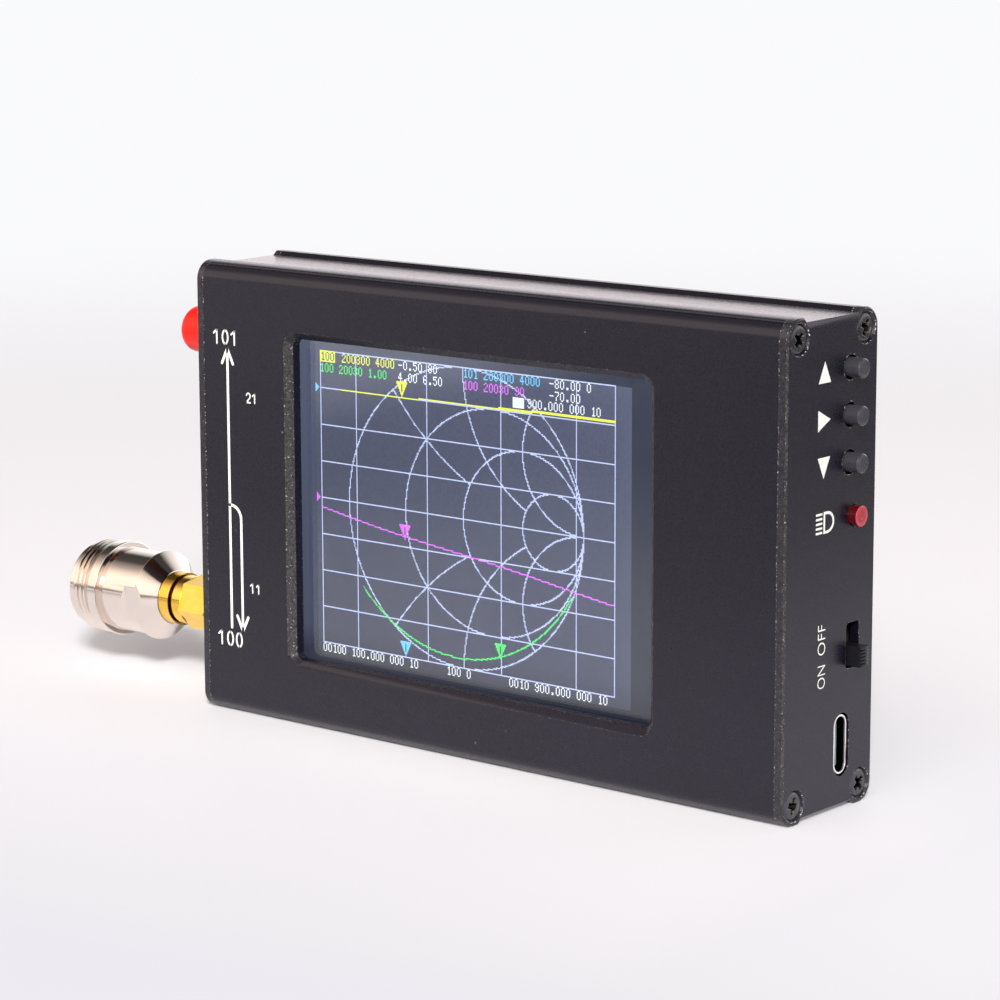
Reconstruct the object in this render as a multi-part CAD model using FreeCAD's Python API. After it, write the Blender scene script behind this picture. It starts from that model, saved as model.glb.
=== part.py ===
import FreeCAD, Part
import math
import os

# Handheld antenna analyzer: split extruded case, screwed end plates, display, board, two ports.
# Millimetres. X runs along the case, the display faces -Y, Z is up. While it is being built the
# case is centred on X = 0; every piece is moved by origin_shift as it is saved, so that the
# finished part stands with its origin under the middle of its whole length.

Vec = FreeCAD.Vector
x_dir = Vec(1, 0, 0)
y_dir = Vec(0, 1, 0)
z_dir = Vec(0, 0, 1)

# ---- case -------------------------------------------------------------------------------------
case_len = 115.4            # over both end plates
case_depth = 22.7           # front face to back face; its height follows from the display module
plate_t = 1.5               # end plate
plate_edge = 0.25           # broken edge round an end plate's outer face
screw_inset = 3.0           # screw axis to the two nearest faces, also the corner radius
rail_rise = 0.7             # rails stand this much above the sunk floor between them
rail_flat = 4.1             # flat top of a rail, measured from the case face
rail_slope = 0.8            # width of a rail's sloping inner side
wall_front = 2.6
wall_back = 1.8
wall_side = 1.8             # under the sunk floor
boss_r = 3.0                # screw channel, outside
core_gap = 0.03             # screw to the inside of its channel
core_slot = 1.0             # the channel is open to the inside by this much
tongue_t = 0.6              # tongue along the seam of the two shells
tongue_h = 0.9
tongue_gap = 0.05           # on each side of the tongue
tongue_end_gap = 0.15
rib_t = 1.2                 # board ribs on the shells' inner sides
rib_reach = 1.7

# ---- fasteners of the end plates --------------------------------------------------------------
screw_r = 1.25
screw_len = 8.0
screw_sides = 16            # the screws are drawn with flat sides
hole_sides = 24             # so are the small holes of the end plates
head_sunk = 0.25            # head below the plate's face
head_gap = 0.05             # head to its countersink
sink_r = 2.45               # mouth of the countersink, which narrows through the whole plate
screw_hole_gap = 0.15

# ---- display ----------------------------------------------------------------------------------
active_w = 64.8             # 3.2 inch panel, 320 by 240 dots
active_h = 48.6
active_x = -4.9             # centre of the picture from the centre of the case
view_left = 0.4             # window edge beyond the picture
view_right = 5.75
view_top = 1.9
view_bottom = 1.3
window_r = 1.4
window_bevel = 1.1
rim_left = 4.0              # module edge beyond the picture
rim_right = 8.8
rim_top = 3.2
rim_bottom = 3.2
room_top = 3.6              # module to the screw channels above it
room_bottom = 3.0           # module to the screw channels below it
gasket_t = 0.5
gasket_step = 0.4           # gasket edge back from the window's edge and from the glass edge
touch_t = 1.1
cell_t = 1.0
cell_rim = 1.2              # frame wall round the cell
cell_gap = 0.1
module_t = 2.5
flex_w = 28.0
flex_t = 0.2
flex_out = 1.4              # straight part before the bend
flex_back = 5.0             # straight part after the bend
flex_sunk = 0.5             # ribbon above the module's back
flex_rise = 0.9             # ribbon above the board
zif_len = 4.0
zif_t = 1.7
zif_side = 1.6
zif_grip = 1.8

# ---- main board -------------------------------------------------------------------------------
board_t = 1.6
board_back = 1.77           # back face, from the case's mid plane
board_slack = 0.3           # board edge to the case walls
board_end_gap = 0.6         # board edge to the right end plate
board_play = 0.1            # between board faces and the ribs
lead_gap = 0.02             # solder film between a part and the board

# ---- parts on the board's front ---------------------------------------------------------------
can_h = 3.2
can_wall = 0.3
can_w = 26.0
can_deep = 17.0
can_from_edge = 6.5
can_inset = 16.3            # can centre from the case's base and top
mixer_w = 22.0
mixer_deep = 14.0
pad_inset = 3.0
chip_w = 10.0
chip_t = 1.4
chip_in = 43.6              # chip centre from the board's right end
chip_up = 16.0
clock_w = 5.0
clock_deep = 3.2
clock_t = 1.2
clock_in = 43.6
clock_drop = 16.0

# ---- battery and charging, on the board's back ------------------------------------------------
battery_w = 62.0
battery_h = 48.0
battery_t = 5.8
battery_r = 2.2
battery_in = 13.5           # battery's near edge from the board's left end
pad_t = 0.6
pad_w = 40.0
pad_h = 30.0
coil_w = 4.0
coil_t = 2.0
coil_in = 17.6              # centres from the board's right end
coil_drop = 20.0
charger_w = 4.0
charger_t = 0.9
charger_in = 23.6
plug_w = 8.0
plug_deep = 4.5
plug_t = 4.6
plug_in = 19.6
plug_up = 14.0
plug_pitch = 2.0
wire_r = 0.45

# ---- side controls on the right end plate -----------------------------------------------------
button_r = 1.47
button_hole_gap = 0.38
button_proud = 2.4
button_below = 2.3          # uppermost button's axis below the screw channels
button_pitch = 6.9
button_lift = 2.73          # button axis above the board's back
button_travel = 0.25
button_edge = 0.2
button_deep = 1.6           # button's length inside its switch
well_gap = 0.1              # button to the well in its switch
tact_w = 5.2
tact_deep = 4.0
tact_t = 4.6
tact_back = 1.3             # switch behind the plate's inner face
lamp_r = 1.55
lamp_proud = 1.4
lamp_pitch = 8.0            # lamp below the lowest button
lamp_lift = 4.03
lamp_back = 3.4             # lamp's foot behind the plate's inner face
lamp_hole_gap = 0.1
holder_w = 4.8
holder_len = 2.6
holder_over = 2.4
leg_w = 0.45
leg_pitch = 2.54
leg_out = 1.6
switch_z = 24.3             # centre of the power switch above the base
switch_lift = 4.18
switch_travel = 3.0
knob_w = 2.3
knob_h = 3.0
knob_proud = 2.2
knob_foot = 1.4             # wider foot inside the switch
knob_foot_side = 0.5
knob_ribs = 4
knob_rib_deep = 0.3
slot_w = 3.35
slot_end_gap = 0.4
switch_len = 10.4
switch_deep = 5.0
switch_over = 2.3
switch_back = 0.7           # switch body behind the plate's inner face
foot_gap = 0.12

# ---- charging socket --------------------------------------------------------------------------
usb_w = 8.94
usb_h = 3.26
usb_len = 7.3
usb_wall = 0.3
usb_z = 9.8                 # centre above the base
usb_sunk = 0.2              # socket mouth behind the plate's face
usb_slot_gap = 0.32
usb_floor = 0.8
tongue_w = 6.7
tongue_thick = 0.7
tongue_back = 0.9           # tongue tip behind the socket's mouth

# ---- ports on the left end plate --------------------------------------------------------------
port_inset = 13.5           # port axes from the case's base and top
barrel_r = 3.175            # quarter inch thread, outside
barrel_out = 12.7           # beyond the end plate
barrel_hole_gap = 0.15
mouth_r = 2.31
mouth_deep = 1.93
core_bore_r = 2.05
flange_w = 6.4
flange_t = 1.5
flange_gap = 0.1            # flange to the plate's inner face
prong_w = 1.1
prong_len = 4.5
contact_r = 0.635
contact_bore_r = 0.48
contact_bore_deep = 3.2
port_lift = 0.38            # port axis above the board's back
tail_w = 1.0
tail_t = 0.4
tail_len = 3.0
fit_gap = 0.05              # radial gap of threads and plugs
insulator_gap = 0.04
core_sides = 16             # the small pieces inside the ports and the adapter are drawn with flat sides
nut_t = 2.1
nut_across = 8.0

# ---- dust cap on the upper port ---------------------------------------------------------------
cap_r = 3.85
cap_floor = 1.2
cap_from_nut = 0.6
cap_edge = 0.6

# ---- adapter on the lower port (all stations are distances beyond the end plate) --------------
coupling_start = 8.6        # front of the coupling nut
coupling_len = 6.15
coupling_across = 8.0
coupling_turn = 11.0        # degrees, as it was tightened
coupling_neck_r = 4.15
coupling_neck_len = 1.9
coupling_edge = 0.45
coupling_lip = 1.6          # rear lip that the snap ring holds
plug_r = 2.26
plug_gap = 0.05
shank_r = 2.75
groove_r = 2.4
ring_t = 0.6
ring_gap = 0.05
seal_t = 0.4
flare_r = 4.5
flare_start = 17.2
spigot_len = 3.0
cone_start = 19.4
ring_start = 21.2
neck_start = 22.3
collar_start = 31.0
thread_start = 33.0
thread_end = 36.9
adapter_end = 38.2
cone_r = 4.6
ring_r = 7.57
neck_r = 7.18
neck_flats = 13.0           # spanner size, the flats face the case's front and back
flat_end = 25.0
flat_turn = 7.0             # degrees, as the body was tightened
collar_r = 8.15
thread_r = 7.9375           # five eighths of an inch over the thread
lip_r = 7.35
socket_r = 4.05
socket_deep = 9.0
bead_r = 3.45
pin_r = 0.455
pin_out = 2.5
rod_r = 0.9
jack_pin_r = 1.52
jack_pin_bore_r = 0.83
jack_pin_bore_deep = 3.2
jack_pin_back = 5.2         # contact's end behind the adapter's end

# ---- worked out from the sizes above ----------------------------------------------------------
channel = screw_inset + boss_r
module_low = channel + room_bottom
active_z = module_low + rim_bottom + active_h / 2
module_high = active_z + active_h / 2 + rim_top
case_high = module_high + room_top + channel
mid_z = case_high / 2
right_face = case_len / 2
left_face = -case_len / 2
right_in = right_face - plate_t
left_in = left_face + plate_t
front_face = -case_depth / 2
back_face = case_depth / 2
inner_low = rail_rise + wall_side
inner_high = case_high - inner_low
screw_y = case_depth / 2 - screw_inset
screw_spots = [(y, z) for y in (-screw_y, screw_y) for z in (screw_inset, case_high - screw_inset)]
hole_r = screw_r + screw_hole_gap
board_front = board_back - board_t
solder_back = board_back + lead_gap
seam_y = board_front - board_play
port_y = solder_back + port_lift
port_spots = {"upper": case_high - port_inset, "lower": port_inset}
button_y = board_back + button_lift
up_z = case_high - channel - button_below
button_spots = {"up": up_z, "select": up_z - button_pitch, "down": up_z - 2 * button_pitch}
lamp_y = board_back + lamp_lift
lamp_z = button_spots["down"] - lamp_pitch
switch_y = board_back + switch_lift
knob_low = switch_z - (knob_h + switch_travel) / 2
usb_y = solder_back + usb_h / 2
gasket_front = front_face + wall_front
touch_front = gasket_front + gasket_t
module_front = touch_front + touch_t
module_back = module_front + module_t
can_top = board_front - can_h
board_left = left_in + flange_gap + flange_t
board_right = right_in - board_end_gap
reference = barrel_out - mouth_deep
origin_shift = (adapter_end - button_proud) / 2


def beyond(distance):
    """X of a station this far beyond the left end plate."""
    return left_face - distance


def block(x0, x1, y0, y1, z0, z1):
    return Part.makeBox(x1 - x0, y1 - y0, z1 - z0, Vec(x0, y0, z0))


def rod(x0, x1, y, z, r):
    return Part.makeCylinder(r, x1 - x0, Vec(x0, y, z), x_dir)


def edges_at(shape, x):
    """Edges that lie in the plane at this X."""
    return [e for e in shape.Edges if abs(e.BoundBox.XMin - x) < 1e-6 and abs(e.BoundBox.XMax - x) < 1e-6]


def edges_along(shape, direction):
    picked = []
    for edge in shape.Edges:
        if len(edge.Vertexes) == 2 and edge.Curve.TypeId == "Part::GeomLine":
            run = edge.Vertexes[1].Point - edge.Vertexes[0].Point
            if abs(abs(run.normalize().dot(direction)) - 1) < 1e-6:
                picked.append(edge)
    return picked


def slab(x0, x1, z0, z1, y0, y1, r):
    """Plate facing the display side, with rounded corners."""
    plain = block(x0, x1, y0, y1, z0, z1)
    return plain.makeFillet(r, edges_along(plain, y_dir))


def slot_bar(x0, x1, y, z0, z1, w):
    """Round-ended bar along X, tall in Z."""
    r = w / 2
    low = Vec(x0, y, z0 + r)
    high = Vec(x0, y, z1 - r)
    side = Vec(0, r, 0)
    drop = Vec(0, 0, r)
    outline = Part.Wire([
        Part.LineSegment(low + side, high + side).toShape(),
        Part.Arc(high + side, high + drop, high - side).toShape(),
        Part.LineSegment(high - side, low - side).toShape(),
        Part.Arc(low - side, low - drop, low + side).toShape(),
    ])
    return Part.Face(outline).extrude(Vec(x1 - x0, 0, 0))


def prism_x(points, x0, x1):
    """Solid along X over an outline given as (y, z) points."""
    corners = [Vec(x0, y, z) for y, z in points]
    outline = Part.makePolygon(corners + corners[:1])
    return Part.Face(outline).extrude(Vec(x1 - x0, 0, 0))


def ring_points(y, z, r, sides, turn=0.0):
    """(y, z) corners of a regular outline."""
    angles = [math.radians(360 / sides * step + turn) for step in range(sides)]
    return [(y + r * math.cos(angle), z + r * math.sin(angle)) for angle in angles]


def many_sided(x0, x1, y, z, r, sides, turn=0.0):
    """Bar along X with this many flat sides; r reaches its corners."""
    return prism_x(ring_points(y, z, r, sides, turn), x0, x1)


def faceted(outline, y, z, sides):
    """Solid with flat sides about an axis along X, from (x, radius) points round its section."""
    rings = []
    for x, r in outline:
        ring = [Vec(x, b, c) for b, c in ring_points(y, z, r, sides)]
        rings.append(ring if r > 0 else ring[:1])
    faces = []
    for one, two in zip(rings, rings[1:] + rings[:1]):
        for step in range(sides):
            after = (step + 1) % sides
            corners = [one[step % len(one)], one[after % len(one)]]
            corners += [two[after % len(two)], two[step % len(two)]]
            apart = [p for k, p in enumerate(corners) if p != corners[k - 1]]
            if len(apart) > 2:
                faces.append(Part.Face(Part.makePolygon(apart + apart[:1])))
    solid = Part.makeSolid(Part.makeShell(faces))
    if solid.Volume < 0:
        solid.reverse()
    return solid


def turned(stations, z):
    """Solid of revolution about a port's axis, from (distance beyond the plate, radius) points."""
    corners = [Vec(beyond(distance), port_y + r, z) for distance, r in stations]
    outline = Part.makePolygon(corners + corners[:1])
    return Part.Face(outline).revolve(Vec(0, port_y, z), x_dir, 360)


def faceted_core(stations, z):
    """The same with flat sides, for the small pieces inside."""
    outline = [(beyond(distance), r) for distance, r in stations]
    return faceted(outline, port_y, z, core_sides)


def hexagon(d0, d1, z, across, turn=0.0):
    """Six-sided bar about a port's axis between two stations."""
    return many_sided(beyond(d1), beyond(d0), port_y, z, across / math.sqrt(3), 6, turn)


def save(name, shape):
    """Move a finished piece into the part's own frame and write it."""
    placed = shape.copy()
    placed.translate(Vec(origin_shift, 0, 0))
    placed.exportStep("parts/" + name + ".step")


# ---- case pieces ------------------------------------------------------------------------------
def case_blank(x0, x1):
    """Outline shared by the shells and the end plates: round corners and two sunk long sides."""
    plain = block(x0, x1, front_face, back_face, 0, case_high)
    blank = plain.makeFillet(screw_inset, edges_along(plain, x_dir))
    top = case_depth / 2 - rail_flat
    foot = top - rail_slope
    over = rail_rise
    low = [(-top, 0), (-foot, rail_rise), (foot, rail_rise), (top, 0), (top, -over), (-top, -over)]
    high = [(y, case_high - z) for y, z in low]
    return blank.cut([prism_x(low, x0, x1), prism_x(high, x0, x1)])


def screw_cores(x0, x1):
    cores = []
    for y, z in screw_spots:
        inward = -math.copysign(boss_r + 1, y)
        y0, y1 = sorted((y, y + inward))
        cores.append(rod(x0, x1, y, z, screw_r + core_gap))
        cores.append(block(x0, x1, y0, y1, z - core_slot / 2, z + core_slot / 2))
    return cores


def shell_tube():
    """Both shells as one tube with its four screw channels."""
    cavity = block(left_in, right_in, front_face + wall_front, back_face - wall_back, inner_low, inner_high)
    bosses = [rod(left_in, right_in, y, z, boss_r) for y, z in screw_spots]
    tube = case_blank(left_in, right_in).cut(cavity.cut(bosses))
    return tube.cut(screw_cores(left_in, right_in))


def seam_strips(extra, deep):
    """The tongue on both long sides, or the groove for it."""
    strips = []
    centre = rail_rise + wall_side / 2
    half = tongue_t / 2 + extra
    for z in (centre, case_high - centre):
        strips.append(block(left_in, right_in, seam_y - deep, seam_y, z - half, z + half))
    return strips


def board_ribs(y0, y1):
    low = block(left_in, right_in, y0, y1, inner_low, inner_low + rib_reach)
    high = block(left_in, right_in, y0, y1, inner_high - rib_reach, inner_high)
    return [low, high]


def window_edges():
    x0 = active_x - active_w / 2 - view_left
    x1 = active_x + active_w / 2 + view_right
    z0 = active_z - active_h / 2 - view_bottom
    z1 = active_z + active_h / 2 + view_top
    return x0, x1, z0, z1


def front_shell():
    keep = block(left_in, right_in, front_face, seam_y, 0, case_high)
    shell = shell_tube().common(keep)
    shell = shell.fuse(board_ribs(seam_y - rib_t, seam_y)).removeSplitter()
    shell = shell.cut(seam_strips(tongue_gap, tongue_h + tongue_end_gap))
    shell = shell.cut(slab(*window_edges(), front_face, front_face + wall_front, window_r))
    rim = []
    for edge in shell.Edges:
        box = edge.BoundBox
        on_face = abs(box.YMin - front_face) < 1e-6 and abs(box.YMax - front_face) < 1e-6
        if on_face and box.XMin > left_in + plate_t and box.XMax < right_in - plate_t:
            rim.append(edge)
    return shell.makeChamfer(window_bevel, rim)


def back_shell():
    keep = block(left_in, right_in, seam_y, back_face, 0, case_high)
    shell = shell_tube().common(keep)
    rib_front = board_back + board_play
    shell = shell.fuse(board_ribs(rib_front, rib_front + rib_t)).removeSplitter()
    return shell.fuse(seam_strips(0, tongue_h)).removeSplitter()


def sink_radius(depth):
    """Radius of a countersink this far below the plate's face."""
    return sink_r + (hole_r - sink_r) * depth / plate_t


def countersinks(outer_x, outward):
    """Cutters for the four screw holes of an end plate."""
    inner_x = outer_x - outward * plate_t
    outline = [(outer_x, 0), (outer_x, sink_r), (inner_x, hole_r), (inner_x, 0)]
    return [faceted(outline, y, z, hole_sides) for y, z in screw_spots]


def plate_hole(x0, x1, y, z, r):
    return many_sided(x0, x1, y, z, r, hole_sides)


def end_plate(x0, x1, outer_x):
    """Plate with the case's outline and a broken edge round its outer face."""
    plate = case_blank(x0, x1)
    return plate.makeChamfer(plate_edge, edges_at(plate, outer_x))


def right_end_plate():
    cutters = countersinks(right_face, 1)
    for z in button_spots.values():
        cutters.append(plate_hole(right_in, right_face, button_y, z, button_r + button_hole_gap))
    cutters.append(plate_hole(right_in, right_face, lamp_y, lamp_z, lamp_r + lamp_hole_gap))
    low = knob_low - slot_end_gap
    high = knob_low + knob_h + switch_travel + slot_end_gap
    cutters.append(slot_bar(right_in, right_face, switch_y, low, high, slot_w))
    half = usb_w / 2 + usb_slot_gap
    width = usb_h + 2 * usb_slot_gap
    cutters.append(slot_bar(right_in, right_face, usb_y, usb_z - half, usb_z + half, width))
    return end_plate(right_in, right_face, right_face).cut(cutters)


def left_end_plate():
    cutters = countersinks(left_face, -1)
    for z in port_spots.values():
        cutters.append(plate_hole(left_face, left_in, port_y, z, barrel_r + barrel_hole_gap))
    return end_plate(left_face, left_in, left_face).cut(cutters)


def plate_screws(outer_x, outward):
    """Four countersunk screws, each its own solid, seated in their countersinks."""
    top = outer_x - outward * head_sunk
    foot = outer_x - outward * plate_t
    end = top - outward * screw_len
    head_r = sink_radius(head_sunk) - head_gap
    outline = [(top, 0), (top, head_r), (foot, screw_r), (end, screw_r), (end, 0)]
    return Part.Compound([faceted(outline, y, z, screw_sides) for y, z in screw_spots])


# ---- display pieces ---------------------------------------------------------------------------
def module_edges():
    x0 = active_x - active_w / 2 - rim_left
    x1 = active_x + active_w / 2 + rim_right
    return x0, x1, module_low, module_high


def display_gasket():
    """Foam ring between the case and the touch glass, round the window."""
    x0, x1, z0, z1 = module_edges()
    s = gasket_step
    outer = block(x0 + s, x1 - s, gasket_front, touch_front, z0 + s, z1 - s)
    wx0, wx1, wz0, wz1 = window_edges()
    return outer.cut(block(wx0 - s, wx1 + s, gasket_front, touch_front, wz0 - s, wz1 + s))


def touch_glass():
    x0, x1, z0, z1 = module_edges()
    return block(x0, x1, touch_front, module_front, z0, z1)


def lcd_panel():
    x0, x1, z0, z1 = module_edges()
    inset = cell_rim + cell_gap
    return block(x0 + inset, x1 - inset, module_front, module_front + cell_t, z0 + inset, z1 - inset)


def lcd_frame():
    """Pressed tray that holds the panel."""
    x0, x1, z0, z1 = module_edges()
    tray = block(x0, x1, module_front, module_back, z0, z1)
    c = cell_rim
    return tray.cut(block(x0 + c, x1 - c, module_front, module_front + cell_t + cell_gap / 2, z0 + c, z1 - c))


def ribbon_path():
    """Heights of the display ribbon: leaving the module, and lying over the board."""
    leave_y = module_back - flex_sunk
    lie_y = board_front - flex_rise
    return leave_y, lie_y


def lcd_flex():
    """Flat ribbon that leaves the module's right edge and turns back to the board."""
    leave_y, lie_y = ribbon_path()
    x0 = module_edges()[1]
    x1 = x0 + flex_out
    r = (lie_y - leave_y) / 2
    mid_y = (lie_y + leave_y) / 2
    x2 = x1 - flex_back

    def outline(radius):
        up = Vec(x1, mid_y - radius, active_z - flex_w / 2)
        far = Vec(x1 + radius, mid_y, active_z - flex_w / 2)
        down = Vec(x1, mid_y + radius, active_z - flex_w / 2)
        return up, far, down

    outer = outline(r + flex_t / 2)
    inner = outline(r - flex_t / 2)
    start_out = Vec(x0, outer[0].y, outer[0].z)
    start_in = Vec(x0, inner[0].y, inner[0].z)
    end_out = Vec(x2, outer[2].y, outer[2].z)
    end_in = Vec(x2, inner[2].y, inner[2].z)
    ribbon = Part.Wire([
        Part.LineSegment(start_out, outer[0]).toShape(),
        Part.Arc(*outer).toShape(),
        Part.LineSegment(outer[2], end_out).toShape(),
        Part.LineSegment(end_out, end_in).toShape(),
        Part.LineSegment(end_in, inner[2]).toShape(),
        Part.Arc(inner[2], inner[1], inner[0]).toShape(),
        Part.LineSegment(inner[0], start_in).toShape(),
        Part.LineSegment(start_in, start_out).toShape(),
    ])
    return Part.Face(ribbon).extrude(Vec(0, 0, flex_w))


def flex_connector():
    lie_y = ribbon_path()[1]
    tip = module_edges()[1] + flex_out - flex_back
    x1 = tip + zif_grip
    z0 = active_z - flex_w / 2
    z1 = active_z + flex_w / 2
    s = zif_side
    housing = block(x1 - zif_len, x1, board_front - zif_t, board_front, z0 - s, z1 + s)
    half = flex_t / 2 + fit_gap
    mouth = block(tip - fit_gap, x1, lie_y - half, lie_y + half, z0 - fit_gap, z1 + fit_gap)
    return housing.cut(mouth)


# ---- board and what sits on it ----------------------------------------------------------------
def main_board():
    z0 = inner_low + board_slack
    z1 = inner_high - board_slack
    return block(board_left, board_right, board_front, board_back, z0, z1)


def shield_spots():
    """Centre and half sizes of the three shield cans on the board's front."""
    x = board_left + can_from_edge + can_w / 2
    return {
        "upper_port_shield": (x, case_high - can_inset, can_w / 2, can_deep / 2),
        "lower_port_shield": (x, can_inset, can_w / 2, can_deep / 2),
        "mixer_shield": (x, mid_z, mixer_w / 2, mixer_deep / 2),
    }


def shield_can(x, z, half_w, half_h):
    can = block(x - half_w, x + half_w, can_top, board_front, z - half_h, z + half_h)
    w = can_wall
    inside = block(x - half_w + w, x + half_w - w, can_top + w, board_front, z - half_h + w, z + half_h - w)
    return can.cut(inside)


def display_foam_pads():
    """Soft blocks between the shield cans and the display module."""
    pads = []
    for x, z, half_w, half_h in shield_spots().values():
        hx = half_w - pad_inset
        hz = half_h - pad_inset
        pads.append(block(x - hx, x + hx, module_back, can_top, z - hz, z + hz))
    return Part.Compound(pads)


def front_chip(x, z, w, h, t):
    y1 = board_front - lead_gap
    return block(x - w / 2, x + w / 2, y1 - t, y1, z - h / 2, z + h / 2)


def back_chip(x, z, w, h, t):
    return block(x - w / 2, x + w / 2, solder_back, solder_back + t, z - h / 2, z + h / 2)


battery_left = board_left + battery_in
battery_right = battery_left + battery_w
battery_back = back_face - wall_back - pad_t
plug_x = board_right - plug_in


def battery():
    half = battery_h / 2
    front = battery_back - battery_t
    plain = block(battery_left, battery_right, front, battery_back, mid_z - half, mid_z + half)
    return plain.makeFillet(battery_r, edges_along(plain, z_dir))


def battery_pad():
    x0 = (battery_left + battery_right - pad_w) / 2
    half = pad_h / 2
    return block(x0, x0 + pad_w, battery_back, battery_back + pad_t, mid_z - half, mid_z + half)


def battery_plug():
    return back_chip(plug_x, mid_z + plug_up, plug_deep, plug_w, plug_t)


def battery_leads():
    """Two straight leads from the battery's end to its plug."""
    y = solder_back + plug_t / 2
    leads = []
    for side in (-0.5, 0.5):
        z = mid_z + plug_up + side * plug_pitch
        leads.append(many_sided(battery_right, plug_x - plug_deep / 2, y, z, wire_r, 8))
    return Part.Compound(leads)


# ---- side controls ----------------------------------------------------------------------------
tact_front = right_in - tact_back
button_end = tact_front - button_deep
well_end = button_end - 2 * button_travel


def button(z):
    """Plain plunger that slides in the well of its switch."""
    tip = right_face + button_proud
    plunger = rod(button_end, tip, button_y, z, button_r)
    return plunger.makeChamfer(button_edge, edges_at(plunger, tip))


def tact_switch(z):
    half = tact_w / 2
    body = block(tact_front - tact_deep, tact_front, solder_back, solder_back + tact_t, z - half, z + half)
    w = button_r + well_gap
    return body.cut(block(well_end, tact_front, button_y - w, button_y + w, z - w, z + w))


lamp_base = right_in - lamp_back


def indicator_lamp():
    return rod(lamp_base, right_face + lamp_proud, lamp_y, lamp_z, lamp_r)


def lamp_holder():
    half = holder_w / 2
    x1 = lamp_base + holder_len
    body = block(lamp_base, x1, solder_back, lamp_y + holder_over, lamp_z - half, lamp_z + half)
    w = lamp_r + fit_gap
    return body.cut(block(lamp_base, x1, lamp_y - w, lamp_y + w, lamp_z - w, lamp_z + w))


def lamp_legs():
    legs = []
    half = leg_w / 2
    for side in (-0.5, 0.5):
        z = lamp_z + side * leg_pitch
        level = block(lamp_base - leg_out, lamp_base, lamp_y - half, lamp_y + half, z - half, z + half)
        x1 = lamp_base - leg_out + leg_w
        drop = block(x1 - leg_w, x1, board_back, lamp_y + half, z - half, z + half)
        legs.append(level.fuse(drop).removeSplitter())
    return Part.Compound(legs)


switch_front = right_in - switch_back
foot_back = switch_front - knob_foot


def power_switch_body():
    y1 = switch_y + switch_over
    half = switch_len / 2
    body = block(switch_front - switch_deep, switch_front, solder_back, y1, switch_z - half, switch_z + half)
    low = knob_low - knob_foot_side - foot_gap
    high = knob_low + knob_h + switch_travel + knob_foot_side + foot_gap
    side = knob_w / 2 + foot_gap
    return body.cut(block(foot_back - foot_gap, switch_front, switch_y - side, switch_y + side, low, high))


def power_switch_knob():
    """Sliding knob with grip ribs on its end; the case shows it at the lower, ON, end."""
    tip = right_face + knob_proud
    half = knob_w / 2
    knob = block(foot_back, tip, switch_y - half, switch_y + half, knob_low, knob_low + knob_h)
    s = knob_foot_side
    foot = block(foot_back, switch_front, switch_y - half, switch_y + half, knob_low - s, knob_low + knob_h + s)
    pitch = knob_h / knob_ribs
    grooves = []
    for step in range(1, knob_ribs):
        z = knob_low + step * pitch
        g = pitch / 3
        points = [(tip, z - g), (tip, z + g), (tip - knob_rib_deep, z)]
        corners = [Vec(x, switch_y - half, zz) for x, zz in points]
        face = Part.Face(Part.makePolygon(corners + corners[:1]))
        grooves.append(face.extrude(Vec(0, knob_w, 0)))
    return knob.fuse(foot).removeSplitter().cut(grooves)


usb_front = right_face - usb_sunk
usb_back = usb_front - usb_len


def usb_shell():
    half = usb_w / 2
    outer = slot_bar(usb_back, usb_front, usb_y, usb_z - half, usb_z + half, usb_h)
    w = usb_wall
    width = usb_h - 2 * w
    inner = slot_bar(usb_back + usb_floor, usb_front, usb_y, usb_z - half + w, usb_z + half - w, width)
    return outer.cut(inner)


def usb_tongue():
    half = tongue_w / 2
    t = tongue_thick / 2
    tip = usb_front - tongue_back
    return block(usb_back + usb_floor, tip, usb_y - t, usb_y + t, usb_z - half, usb_z + half)


# ---- ports ------------------------------------------------------------------------------------
port_back = -(plate_t + flange_gap)
port_inner = port_back - flange_t


def port_jack(z):
    """Threaded barrel with a square flange and four prongs that grip the board."""
    half = flange_w / 2
    barrel = turned([
        (port_back, core_bore_r), (port_back, barrel_r), (barrel_out, barrel_r), (barrel_out, mouth_r),
        (reference, mouth_r), (reference, core_bore_r),
    ], z)
    x0 = beyond(port_back)
    flange = block(x0, board_left, port_y - half, port_y + half, z - half, z + half)
    flange = flange.cut(rod(x0, board_left, port_y, z, core_bore_r))
    prongs = []
    x1 = board_left + prong_len
    for side in (-1, 1):
        z0, z1 = sorted((z + side * half, z + side * (half - prong_w)))
        prongs.append(block(board_left, x1, port_y - half, board_front - lead_gap, z0, z1))
        prongs.append(block(board_left, x1, solder_back, port_y + half, z0, z1))
    return barrel.fuse([flange] + prongs).removeSplitter()


def port_insulator(z):
    r = core_bore_r - insulator_gap
    hole = contact_r + insulator_gap
    return faceted_core([(port_inner, hole), (port_inner, r), (reference, r), (reference, hole)], z)


def port_contact(z):
    """Socket contact with a flat tail that lies on the board's back."""
    bore_end = reference - contact_bore_deep
    socket = faceted_core([
        (port_inner, 0), (port_inner, contact_r), (reference, contact_r), (reference, contact_bore_r),
        (bore_end, contact_bore_r), (bore_end, 0),
    ], z)
    x0 = beyond(port_inner)
    half = tail_w / 2
    tail = block(x0, x0 + tail_len, solder_back, solder_back + tail_t, z - half, z + half)
    return socket.fuse(tail)


def port_nut(z):
    nut = hexagon(0, nut_t, z, nut_across)
    return nut.cut(rod(beyond(nut_t), beyond(0), port_y, z, barrel_r + fit_gap))


def dust_cap():
    """Plain cap that grips the thread, closed at its outer end."""
    start = nut_t + cap_from_nut
    floor = barrel_out + fit_gap
    end = floor + cap_floor
    bore = barrel_r + fit_gap
    e = cap_edge
    return turned([
        (start, bore), (start, cap_r), (end - e, cap_r), (end, cap_r - e), (end, 0), (floor, 0), (floor, bore),
    ], port_spots["upper"])


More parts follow.
